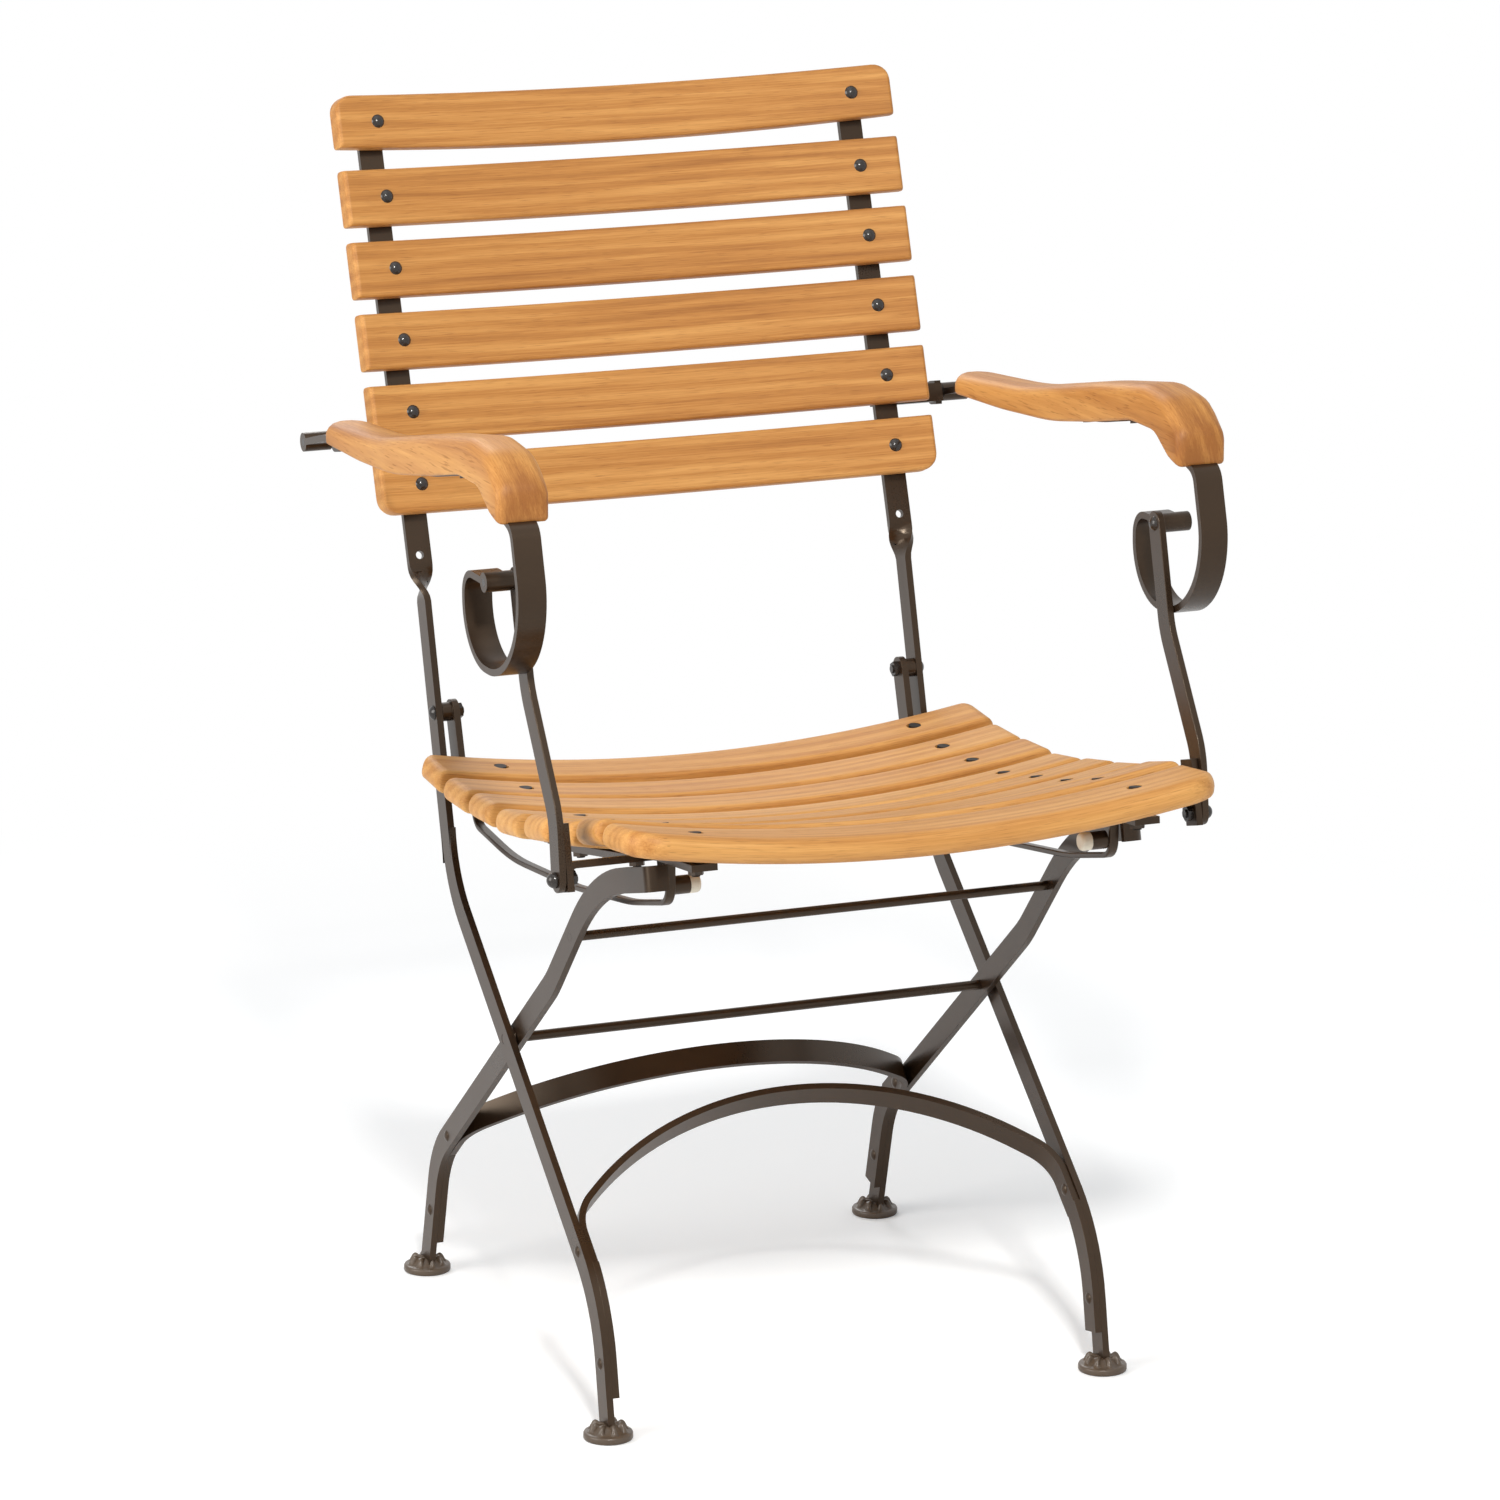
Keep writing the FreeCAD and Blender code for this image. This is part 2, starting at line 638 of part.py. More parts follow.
bolt_hole = "%s + %s" % (cell("bolt_radius"), cell("bolt_slack"))
rivet_hole = "%s + %s" % (cell("rivet_radius"), cell("bolt_slack"))
pin_hole = "%s + %s" % (cell("pin_radius"), cell("running_fit"))
axle_hole = "%s + %s" % (cell("axle_radius"), cell("running_fit"))
tie_hole = "%s + %s" % (cell("tie_radius"), cell("running_fit"))
bracket_up = size("bracket_z")

# Rivets of the two arches, by height above the floor
RIVET_HEIGHTS = (122.0, 52.0)
front_rivets = [along_path(front_path, z, 1)[0] for z in RIVET_HEIGHTS]
rear_rivets = [along_path(rear_path, z, 1)[0] for z in RIVET_HEIGHTS]


def across_hole(name, point, x_start, length, radius):
    """Hole along x through a side plate; x_start is the lower x."""
    return cylinder(name, (x_start, point[0], point[1]), (1, 0, 0), radius, length)


for name, side in SIDES:
    label = "upright_" + name
    x = side * (upright_in + thick / 2) - 10
    holes = [across_hole(label + "_pivot", pivot, x, "20", axle_hole),
             across_hole(label + "_hinge", hinge, x, "20", pin_hole)]
    holes += [across_hole(label + "_rivet", point, x, "20", rivet_hole) for point in front_rivets]
    holes += [through_back(up, side * size("bolt_out"), bolt_hole) for up in slat_ups]
    holes.append(through_back(bracket_up, side * size("flat_out"), rivet_hole))
    vent_up = (size("vent_z") - back_origin[1]) / back_up[1]
    holes.append(through_back(vent_up, side * size("flat_out"), cell("vent_radius")))
    upright(label, side, holes)

# Bolts and nuts of the back
bolt_grip = head_seat + face + size("nut_thick") + size("bolt_end")
back_bolt = domed_bolt(bolt_grip, size("bolt_radius"))
back_nut = nut(size("bolt_radius"))
bolt_shapes = []
nut_shapes = []
for up in slat_ups:
    for x in (size("bolt_out"), -size("bolt_out")):
        seat = on_back(up, head_seat)
        rear = on_back(up, -face)
        out = (0, back_out[0], back_out[1])
        bolt_shapes.append(placed(back_bolt, (x, seat[0], seat[1]), out))
        nut_shapes.append(placed(back_nut, (x, rear[0], rear[1]), out))
group("back_bolts", bolt_shapes)
group("back_nuts", nut_shapes)


# Feet: a turned pad with a slot for the leg's end

def foot(label, y, x_inner, path, side):
    body = new_body(label + "_pad_blank")
    radius = size("foot_radius")
    tall = size("foot_height")
    outline = rounded([(0, 0), (radius - 1.5, 0, 1.0), (radius, 4.0, 2.0), (radius - 1.0, tall - 3.5, 3.0),
                       (radius - 8.0, tall, 4.0), (0, tall)], closed=True)
    place = Placement(Vector(side * (x_inner + thick / 2), 0, -y), Rotation())
    sketch = sketch_in(body, label + "_profile", "XZ_Plane", outline, place)
    turn = body.newObject("PartDesign::Revolution", label + "_turn")
    turn.Profile = sketch
    turn.ReferenceAxis = (sketch, ["V_Axis"])
    turn.Angle = 360
    start, direction = path[0][0], unit(path[0][0], path[0][2])
    low = (start[0] - direction[0] * size("seat_gap"), start[1] - direction[1] * size("seat_gap"))
    high = (start[0] + direction[0] * 2 * tall, start[1] + direction[1] * 2 * tall)
    slot = side_plate(label + "_slot", strip([(low, None, high)], bar + 2 * size("seat_gap")),
                      "%.4f" % (x_inner - size("seat_gap")), "%.4f" % (thick + 2 * size("seat_gap")), side)
    node(label, without(label, body, [slot]))


for name, side in SIDES:
    foot("front_foot_" + name, size("front_foot_y"), upright_in, front_path, side)
    foot("rear_foot_" + name, size("rear_foot_y"), rear_in, rear_path, side)


# Arches: a strap bent in the plane of a leg pair, with ends that follow the legs

def arch(label, path, x_out, lean, bend, top, heights):
    """x_out is the outer face of its ends; lean is the leg's direction, up towards the pivot."""
    middle = x_out - thick / 2
    slope = math.radians(size("arch_side"))
    apex = bend * (1 / math.cos(slope) - 1) - top
    shoulder = apex - middle * math.tan(slope)
    low = shoulder - size("arch_corner") - 6.0
    outline = strip(rounded([(middle, low), (middle, shoulder, size("arch_corner")), (0, apex, bend),
                             (-middle, shoulder, size("arch_corner")), (-middle, low)]), thick)
    place = axes_at((0, pivot[0], pivot[1]), (1, 0, 0), (0, lean[0], lean[1]))
    strap = plate_at(label + "_strap", outline, place, cell("bar_width"))
    pieces = [strap]
    holes = []
    upper = pivot[1] + lean[1] * (low + 4.0)
    for side in (1, -1):
        end_path = cut_path(path, size("arch_end_z"), upper, 1)
        pieces.append(side_plate(label + "_end", strip(end_path, bar), "%.4f" % (x_out - thick),
                                 cell("bar_thick"), side))
        holes += [across_hole(label + "_hole", p, side * middle - 10, "20", rivet_hole) for p in heights]
    node(label, without(label, joined(label + "_whole", pieces), holes))


up_front = unit((0, 0), (leg_slope, 1))
up_rear = unit((0, 0), (-leg_slope, 1))
arch("front_arch", front_path, upright_in, up_front, size("arch_front_bend"), size("arch_front_top"),
     front_rivets)
arch("rear_arch", rear_path, rear_in, up_rear, size("arch_rear_bend"), size("arch_rear_top"), rear_rivets)

arch_rivet = rivet(2 * thick)
group("front_arch_rivets", [placed(arch_rivet, (side * (upright_in - thick), p[0], p[1]), (-side, 0, 0))
                            for side in (1, -1) for p in front_rivets])
group("rear_arch_rivets", [placed(arch_rivet, (side * (rear_in - thick), p[0], p[1]), (-side, 0, 0))
                           for side in (1, -1) for p in rear_rivets])

# Leg pivot: washers on the front legs, axle and upper rod on the rear legs
washer_thick = size("leg_gap") - size("moving_gap")
washer_bore = Part.makeCylinder(size("axle_radius") + fit, washer_thick)
washer = Part.makeCylinder(size("washer_radius"), washer_thick).cut(washer_bore)
group("leg_pivot_washers", [placed(washer, (side * upright_in, pivot[0], pivot[1]), (-side, 0, 0))
                            for side in (1, -1)])
axle_end = "2 * (%s + %s) - 0.4" % (cell("upright_in"), cell("bar_thick"))
axle = cylinder("pivot_axle", (-(upright_in + thick - 0.2), pivot[0], pivot[1]), (1, 0, 0),
                cell("axle_radius"), axle_end)
node("pivot_axle", axle)
tie = along_path(rear_path, size("tie_y"), 0)[0]
tie_rod = cylinder("upper_cross_rod", (-(rear_in + thick), tie[0], tie[1]), (1, 0, 0), cell("tie_radius"),
                   "2 * (%s - %s)" % (cell("upright_in"), cell("leg_gap")))
node("upper_cross_rod", tie_rod)


# Rear legs, each with a tab that is bent inwards at its front end
tab_point, tab_dir = rear_path[-1][2], unit(rear_path[-1][0], rear_path[-1][2])
bend_long = size("tab_bend")


def rear_leg_bar(label, side, holes):
    run = rear_path[:-1] + [(rear_path[-1][0], None, (tab_point[0] - tab_dir[0] * bend_long,
                                                      tab_point[1] - tab_dir[1] * bend_long))]
    leg = side_plate(label + "_bar", strip(run, bar), "%.4f" % rear_in, cell("bar_thick"), side)
    middle = rear_in + thick / 2
    outline = strip(rounded([(side * middle, -bend_long - 1.0), (side * middle, 0, bend_long - thick / 2),
                             (side * size("tab_in"), 0)]), thick)
    place = axes_at((0, tab_point[0], tab_point[1]), (1, 0, 0), (0, tab_dir[0], tab_dir[1]))
    tab = plate_at(label + "_tab", outline, place, cell("bar_width"))
    node(label, without(label, joined(label + "_whole", [leg, tab]), holes))


for name, side in SIDES:
    label = "rear_leg_" + name
    x = side * (rear_in + thick / 2) - 10
    holes = [across_hole(label + "_pivot", pivot, x, "20", axle_hole),
             across_hole(label + "_rod", tie, x, "20", tie_hole)]
    holes += [across_hole(label + "_rivet", point, x, "20", rivet_hole) for point in rear_rivets]
    rear_leg_bar(label, side, holes)

def seat_slat(number):
    """One seat slat, square to the seat line, with its counterbored bolt holes."""
    label = "seat_slat_%d" % number
    point, direction = along_path(seat_line, SEAT_STATIONS[number - 1])
    down = (-direction[1], direction[0])
    front = number == len(SEAT_STATIONS)
    wide = size("front_slat_wide") if front else size("seat_slat_wide")
    half = size("seat_slat_half")
    middle = (point[0] + down[0] * seat_head_rise, point[1] + down[1] * seat_head_rise)
    axis_point = (middle[0] - down[0] * seat_bow, middle[1] - down[1] * seat_bow)
    angle = math.degrees(math.atan2(down[1], down[0]))
    edge = size("slat_edge")
    nose = size("front_nose") if front else edge
    body = bowed_slat(label + "_blank", axis_point, angle, seat_bow, wide, seat_thick, half + 3.0,
                      (nose, edge))
    # Round ends: a window drawn in the plane of the bend
    ball = seat_thick / 2
    ring = seat_bow + ball
    lean = math.asin((half - ball) / ring)
    reach = ring * math.sin(lean)
    level = ring - ring * math.cos(lean) - ball
    far = 80.0
    outline = [((reach, -far), None, (reach, level - ball)),
               ((reach, level - ball), (reach + ball, level), (reach, level + ball)),
               ((reach, level + ball), None, (reach, far)), ((reach, far), None, (-reach, far)),
               ((-reach, far), None, (-reach, level + ball)),
               ((-reach, level + ball), (-reach - ball, level), (-reach, level - ball)),
               ((-reach, level - ball), None, (-reach, -far)), ((-reach, -far), None, (reach, -far))]
    place = axes_at((0, middle[0], middle[1]), (1, 0, 0), (0, -down[0], -down[1]))
    ends = plate_at(label + "_ends", outline, place, "3 * " + cell("front_slat_wide"))
    body = common(label + "_round", body, ends)
    # Rounded corners: a window drawn from above
    side_edge = half + 1
    far = wide / 2 + 1
    fore = size("front_corner") if front else size("seat_corner")
    aft = size("slat_corner") if number == 1 else size("seat_corner")
    outline = rounded([(-side_edge, -far, aft), (-side_edge, far, fore),
                       (side_edge, far, fore), (side_edge, -far, aft)], closed=True)
    place = axes_at((0, point[0], point[1]), (1, 0, 0), (0, direction[0], direction[1]))
    window = plate_at(label + "_window", outline, place, "8 * " + cell("seat_slat_thick"))
    body = common(label + "_shaped", body, window)
    tools = []
    for side in (1, -1):
        x = side * rail_out
        tools.append(cylinder(label + "_hole", (x, point[0] - down[0] * 20, point[1] - down[1] * 20),
                              (0, down[0], down[1]), bolt_hole, "60"))
        floor = size("flush_deep")
        tools.append(cylinder(label + "_bore", (x, point[0] + down[0] * floor, point[1] + down[1] * floor),
                              (0, -down[0], -down[1]),
                              "%s + %s" % (cell("flush_radius"), cell("bolt_slack")), "20"))
    node(label, without(label, body, tools))
    return point, down


seat_bolt_shapes = []
seat_nut_shapes = []
rail_holes = {1: [], -1: []}
nut_seat = rail_top + thick + size("rail_gap")
seat_grip = nut_seat - size("flush_deep") + size("nut_thick") + size("bolt_end")
seat_bolt = Part.makeCylinder(size("flush_radius"), size("flush_head")).fuse(
    Part.makeCylinder(size("bolt_radius"), seat_grip + 0.5, Vector(0, 0, -seat_grip))).removeSplitter()
seat_nut = nut(size("bolt_radius"))
for number in range(1, len(SEAT_STATIONS) + 1):
    point, down = seat_slat(number)
    for side in (1, -1):
        x = side * rail_out
        up = (0, -down[0], -down[1])
        deep = size("flush_deep")
        head_at = (x, point[0] + down[0] * deep, point[1] + down[1] * deep)
        nut_at = (x, point[0] + down[0] * nut_seat, point[1] + down[1] * nut_seat)
        seat_bolt_shapes.append(placed(seat_bolt, head_at, up))
        seat_nut_shapes.append(placed(seat_nut, nut_at, up))
        rail_holes[side].append(cylinder("rail_hole", (x, point[0], point[1]), (0, down[0], down[1]),
                                         bolt_hole, "40"))
group("seat_bolts", seat_bolt_shapes)
group("seat_nuts", seat_nut_shapes)

# Hinge lugs: a side plate with a boss on the hinge and a foot under the rear end of the rail
lug_out = rear_in - size("moving_gap")
lug_in = lug_out - thick
rail_end = along_path(rail_low, size("lug_y"))[0]
lug_low = (rail_end[0], rail_end[1] - thick / 2)
lug_rivet = rivet(2 * thick)
lug_rivet_point, lug_rivet_dir = along_path(rail_path, size("lug_rivet_y"))
lug_rivet_up = (0, lug_rivet_dir[1], -lug_rivet_dir[0])

# Strut brackets: square to the seat line, where it passes over the lower end of the strut
bracket_flange = size("strut_in") - size("moving_gap") - thick / 2
bracket_start = rail_out + rail_half + size("seat_gap")
rail_level = rail_top + thick / 2
bracket_y = strut_low[0]
for _ in range(20):
    bracket_point, bracket_dir = along_path(seat_line, bracket_y)
    bracket_down = (-bracket_dir[1], bracket_dir[0])
    apart = (strut_low[0] - bracket_point[0], strut_low[1] - bracket_point[1])
    off = apart[0] * bracket_dir[0] + apart[1] * bracket_dir[1]
    bracket_y += off * bracket_dir[0]
low_depth = (strut_low[0] - bracket_point[0]) * bracket_down[0] + (
    strut_low[1] - bracket_point[1]) * bracket_down[1]


def pin_bolt(head_x, point, length, side, tall=size("dome_tall")):
    """Domed bolt along x whose head faces outwards at head_x."""
    return placed(domed_bolt(length, size("pin_radius"), tall), (side * head_x, point[0], point[1]),
                  (side, 0, 0))


def lug_rivet_hole(label, side):
    """Hole for the rivet of a lug, square to the rail."""
    start = (side * rail_out, lug_rivet_point[0] - lug_rivet_up[1] * 20,
             lug_rivet_point[1] - lug_rivet_up[2] * 20)
    return cylinder(label + "_rivet", start, lug_rivet_up, rivet_hole, "40")


for name, side in SIDES:
    label = "seat_rail_" + name
    rail = side_plate(label + "_bar", strip(rail_path, thick),
                      "%s - %s / 2" % (cell("rail_out"), cell("rail_width")), cell("rail_width"), side)
    rivets = [lug_rivet_hole(label, side)]
    node(label, without(label, rail, rail_holes[side] + rivets))

    label = "seat_lug_" + name
    post = side_plate(label + "_post", strip([(lug_low, None, hinge)], bar, round_end=True),
                      "%.4f" % lug_in, cell("bar_thick"), side)
    foot_low = along_path(rail_low, size("lug_y") - size("lug_foot"))[0]
    foot_high = along_path(rail_low, size("lug_y") + size("lug_foot"))[0]
    shelf = shifted([(foot_low, None, foot_high)], -thick / 2)
    foot_plate = side_plate(label + "_shelf", strip(shelf, thick),
                            "%s - %s / 2" % (cell("rail_out"), cell("rail_width")),
                            "%.4f" % (lug_out - rail_out + rail_half), side)
    boss_long = upright_in - size("moving_gap") - lug_in
    boss = cylinder(label + "_boss", (side * lug_in, hinge[0], hinge[1]), (side, 0, 0), cell("eye_radius"),
                    "%.4f" % boss_long)
    holes = [across_hole(label + "_hinge", hinge, side * (lug_in + boss_long / 2) - 10, "20", pin_hole),
             lug_rivet_hole(label, side)]
    node(label, without(label, joined(label + "_whole", [post, foot_plate, boss]), holes))

    label = "guide_rod_" + name
    rod_top = along_path(rail_low, size("rod_front_y") - 4.0)[0][1] - 1.2
    rear_top = along_path(rail_low, size("rod_rear_y"))[0][1] - thick - 0.6
    course = rounded([(size("rod_front_y"), rod_top), (size("rod_front_y"), 404.3, 14.0),
                      (-190.0, 386.8, 300.0), (-80.0, 369.8, 400.0), (50.0, 358.8, 300.0),
                      (size("rod_rear_y"), 366.3, 14.0), (size("rod_rear_y"), rear_top)])
    node(label, side_plate(label + "_bar", strip(course, size("rod_thick")),
                           "%s - %s / 2" % (cell("rod_out"), cell("rod_width")), cell("rod_width"), side))

    # Strap outwards from the rail's edge, then down to the lower end of the strut
    label = "strut_bracket_" + name
    outline = strip(rounded([(side * bracket_start, rail_level),
                             (side * bracket_flange, rail_level, size("bracket_bend")),
                             (side * bracket_flange, low_depth + bar / 2)]), thick)
    place = axes_at((0, bracket_point[0], bracket_point[1]), (1, 0, 0), (0, bracket_down[0], bracket_down[1]))
    bracket = plate_at(label + "_strap", outline, place, cell("bar_width"))
    riser = [((side * bracket_flange, rail_level - size("flange_rise")), None,
              (side * bracket_flange, low_depth + bar / 2))]
    flange = plate_at(label + "_flange", strip(riser, thick), place, cell("bar_width"))
    holes = [across_hole(label + "_hole", strut_low, side * bracket_flange - 8, "16", pin_hole)]
    node(label, without(label, joined(label + "_whole", [bracket, flange]), holes))

# Guide stubs on the inner faces of the guide rods, with pale caps on their inner ends
stub_y = size("rod_front_y") + size("stub_radius")
stub_z = size("stub_z")
stub_x = size("rod_out") - size("rod_width") / 2 - size("seat_gap")
stub = Part.makeCylinder(size("stub_radius"), size("stub_long"))
cap = turned([(0, 0), (size("stub_radius"), 0), (size("stub_radius"), size("cap_long"), 2.5),
              (0, size("cap_long"))])
group("guide_stubs", [placed(stub, (side * stub_x, stub_y, stub_z), (-side, 0, 0)) for side in (1, -1)])
group("guide_caps", [placed(cap, (side * (stub_x - size("stub_long")), stub_y, stub_z), (-side, 0, 0))
                     for side in (1, -1)])

# Rivets of the lugs, and the pivot bolts of the seat
group("seat_rivets", [placed(lug_rivet, (side * rail_out, lug_rivet_point[0] + lug_rivet_up[1] * thick / 2,
                                         lug_rivet_point[1] + lug_rivet_up[2] * thick / 2), lug_rivet_up)
                      for side in (1, -1)])
hinge_head = upright_in + thick + size("moving_gap")
hinge_long = hinge_head - lug_in + size("nut_thick") + size("bolt_end")
pivot_shapes = []
for side in (1, -1):
    pivot_shapes.append(pin_bolt(hinge_head, hinge, hinge_long, side))
    pivot_shapes.append(placed(nut(size("pin_radius")), (side * lug_in, hinge[0], hinge[1]), (side, 0, 0)))
group("seat_pivot_bolts", pivot_shapes)

# Lower bolts of the struts: they sit in the brackets, and the struts turn on them
low_head = size("strut_in") + thick + size("moving_gap")
low_inner = bracket_flange - thick / 2
low_shapes = []
for side in (1, -1):
    low_shapes.append(pin_bolt(low_head, strut_low,
                               low_head - low_inner + size("nut_thick") + size("bolt_end"), side,
                               size("cap_tall")))
    low_shapes.append(placed(nut(size("pin_radius")), (side * low_inner, strut_low[0], strut_low[1]),
                             (side, 0, 0)))
group("strut_bracket_bolts", low_shapes)

# Struts, with their upper bolts, which turn in the eyes of the arm straps
strut_path = rounded([strut_top, (-185.0, 545.0, 60.0), (-238.5, 466.0, 50.0), strut_low])
eye_end = size("eye_in") + size("eye_long")
for name, side in SIDES:
    label = "strut_" + name
    bar_body = side_plate(label + "_bar", strip(strut_path, bar, True, True), cell("strut_in"),
                          cell("bar_thick"), side)
    x = side * (size("strut_in") + thick / 2) - 10
    holes = [across_hole(label + "_top", strut_top, x, "20", pin_hole),
             across_hole(label + "_low", strut_low, x, "20", pin_hole)]
    node(label, without(label, bar_body, holes))
    upper = placed(domed_bolt(eye_end - size("strut_in"), size("pin_radius")),
                   (side * size("strut_in"), strut_top[0], strut_top[1]), (-side, 0, 0))
    group("strut_bolt_" + name, [upper])

# Arm brackets behind the uprights, and the arm pivot bolts that they carry
bracket_out = size("strap_in") - size("bracket_play")
bracket_middle = on_back(bracket_up, -face - thick / 2)
for name, side in SIDES:
    label = "arm_bracket_" + name
    low = on_back(bracket_up - size("bracket_tall") / 2, -face - thick / 2)
    high = on_back(bracket_up + size("bracket_tall") / 2, -face - thick / 2)
    cross = side_plate(label + "_cross", strip([(low, None, high)], thick),
                       "%s - %s / 2" % (cell("flat_out"), cell("bar_width")),
                       "%.4f" % (bracket_out - inner_edge), side)
    ear = side_plate(label + "_ear", strip([(bracket_middle, None, arm_pivot)], bar, round_end=True),
                     "%.4f" % (bracket_out - thick), cell("bar_thick"), side)
    start = on_back(bracket_up, -30)
    holes = [across_hole(label + "_pivot", arm_pivot, side * (bracket_out - thick / 2) - 8, "16", pin_hole),
             cylinder(label + "_hole", (side * size("flat_out"), start[0], start[1]),
                      (0, back_out[0], back_out[1]), rivet_hole, "60")]
    node(label, without(label, joined(label + "_whole", [cross, ear]), holes))
rear = on_back(bracket_up, -face - thick)
bracket_rivet = rivet(2 * thick, second_head=False)
group("arm_bracket_rivets", [placed(bracket_rivet, (side * size("flat_out"), rear[0], rear[1]),
                                    (0, -back_out[0], -back_out[1])) for side in (1, -1)])
arm_shapes = []
strap_out = size("strap_in") + size("strap_width")
for side in (1, -1):
    arm_shapes.append(placed(domed_bolt(strap_out - bracket_out + thick, size("pin_radius")),
                             (side * (bracket_out - thick), arm_pivot[0], arm_pivot[1]), (-side, 0, 0)))
group("arm_pivot_bolts", arm_shapes)

# Armrests and their straps: side view of the wood, and the strap that is let into its underside
wood_outline = rounded([(-213.5, 667.0, 2.0), (-196.0, 671.5, 18.0), (-172.0, 686.5, 25.0),
                        (-130.0, 686.8, 60.0), (-68.0, 673.8, 300.0), (6.0, 660.7, 400.0),
                        (87.0, 655.1, 600.0), (176.0, 652.5, 3.0), (176.0, 667.0, 3.0),
                        (60.0, 676.7, 500.0), (-70.0, 703.2, 500.0), (-150.0, 716.2, 70.0),
                        (-189.0, 712.5, 32.0), (-213.0, 692.0, 16.0)], closed=True)
under_arm = [(172.0, 656.0, 120.0), (87.0, 659.0, 600.0), (6.0, 664.2, 400.0), (-68.0, 675.4, 300.0),
             (-130.0, 688.2, 60.0), (-168.0, 687.6, 25.0), (-193.0, 672.0, 20.0), (-217.5, 665.0, 14.0)]
hand_loop = [(-229.5, 624.0, 50.0), (-230.0, 556.5, 60.0), (-122.0, 556.5, 42.0),
             (-122.0, strut_top[1], 16.0), strut_top]
strap_path = rounded([arm_pivot] + under_arm + hand_loop)
# The groove is open below: its roof follows the strap and runs straight on past both ends of the wood
nose_dir = unit(under_arm[-2][:2], under_arm[-1][:2])
roof_end = (under_arm[-1][0] + nose_dir[0] * 30, under_arm[-1][1] + nose_dir[1] * 30)
roof = shifted(rounded([arm_pivot] + under_arm[:-1] + [roof_end]), -(thick / 2 + size("seat_gap")))
GROOVE_LOW = 600.0
groove_outline = roof + [(roof[-1][2], None, (roof[-1][2][0], GROOVE_LOW)),
                         ((roof[-1][2][0], GROOVE_LOW), None, (roof[0][0][0], GROOVE_LOW)),
                         ((roof[0][0][0], GROOVE_LOW), None, roof[0][0])]
SCREW_YS = (120.0, -20.0, -100.0)
strap_middle = size("strap_in") + size("strap_width") / 2


def armrest(name, side):
    """Wooden armrest: the side view's plate, cut to the plan and grooved for the strap."""
    label = "armrest_" + name
    body = side_plate(label + "_side", wood_outline, "%s - %s - 1" % (cell("wood_in"), cell("toe_in")),
                      "%s + %s + 2" % (cell("wood_width"), cell("toe_in")), side)
    inner = size("wood_in")
    outer = inner + size("wood_width")
    toe = size("toe_in")
    corners = [(inner, -214.2, 6.0), (outer, -214.2, 6.0), (outer, 20.0, 400.0), (outer - toe, 177.0, 17.0),
               (inner - toe, 177.0, 17.0), (inner, 20.0, 400.0)]
    plan = rounded([(side * x, y, radius) for x, y, radius in corners], closed=True)
    window = plate_at(label + "_plan", plan, Placement(Vector(0, 0, 690.0), Rotation()), "200")
    groove = side_plate(label + "_groove", groove_outline, "%s - %s" % (cell("strap_in"), cell("seat_gap")),
                        "%s + 2 * %s" % (cell("strap_width"), cell("seat_gap")), side)
    return label, common(label + "_shaped", body, window), groove


for name, side in SIDES:
    label, wood, groove = armrest(name, side)
    strap_label = "arm_strap_" + name
    strap = side_plate(strap_label + "_bar", strip(strap_path, thick), cell("strap_in"),
                       cell("strap_width"), side)
    eye_x = side * size("eye_in") if side > 0 else side * eye_end
    eye = cylinder(strap_label + "_eye", (eye_x, strut_top[0], strut_top[1]), (1, 0, 0),
                   cell("eye_radius"), cell("eye_long"))
    rear_x = side * size("strap_in") if side > 0 else side * strap_out
    rear_eye = cylinder(strap_label + "_rear_eye", (rear_x, arm_pivot[0], arm_pivot[1]), (1, 0, 0),
                        cell("eye_radius"), cell("strap_width"))
    bore_start = side * strap_middle - 30
    strap_holes = [across_hole(strap_label + "_front_bore", strut_top, bore_start, "60", pin_hole),
                   across_hole(strap_label + "_rear_bore", arm_pivot, bore_start, "60", pin_hole)]
    wood_holes = [groove]
    screws = []
    head = size("screw_head_tall")
    for y in SCREW_YS:
        point, direction = along_path(strap_path, y)
        up = (direction[1], -direction[0]) if direction[0] < 0 else (-direction[1], direction[0])
        low = (point[0] - up[0] * thick / 2, point[1] - up[1] * thick / 2)
        radius = "%s + %s" % (cell("screw_radius"), cell("running_fit"))
        deep = "%s + %s + 0.5" % (cell("bar_thick"), cell("screw_deep"))
        start = (side * strap_middle, low[0] - up[0] * 3, low[1] - up[1] * 3)
        strap_holes.append(cylinder(label + "_hole", start, (0, up[0], up[1]), radius, deep + " + 3"))
        wood_holes.append(cylinder(label + "_hole", start, (0, up[0], up[1]), radius, deep + " + 3"))
        screw = Part.makeCylinder(size("screw_head"), head, Vector(0, 0, -head)).fuse(
            Part.makeCylinder(size("screw_radius"), thick + size("screw_deep") + 0.5,
                              Vector(0, 0, -0.5))).removeSplitter()
        screws.append(placed(screw, (side * strap_middle, low[0], low[1]), (0, up[0], up[1])))
    node(label, without(label, wood, wood_holes))
    node(strap_label, without(strap_label, joined(strap_label + "_whole", [strap, eye, rear_eye]), strap_holes))
    group("armrest_screws_" + name, screws)

# Build, check and write
doc.recompute()
for obj in doc.Objects:
    if "Invalid" in obj.State or "Error" in obj.State:
        raise RuntimeError("%s: %s" % (obj.Label, obj.State))
for label, obj in NODES.items():
    if obj.Shape.isNull() or not obj.Shape.isValid() or not obj.Shape.Solids:
        raise RuntimeError(label + " has no valid shape")
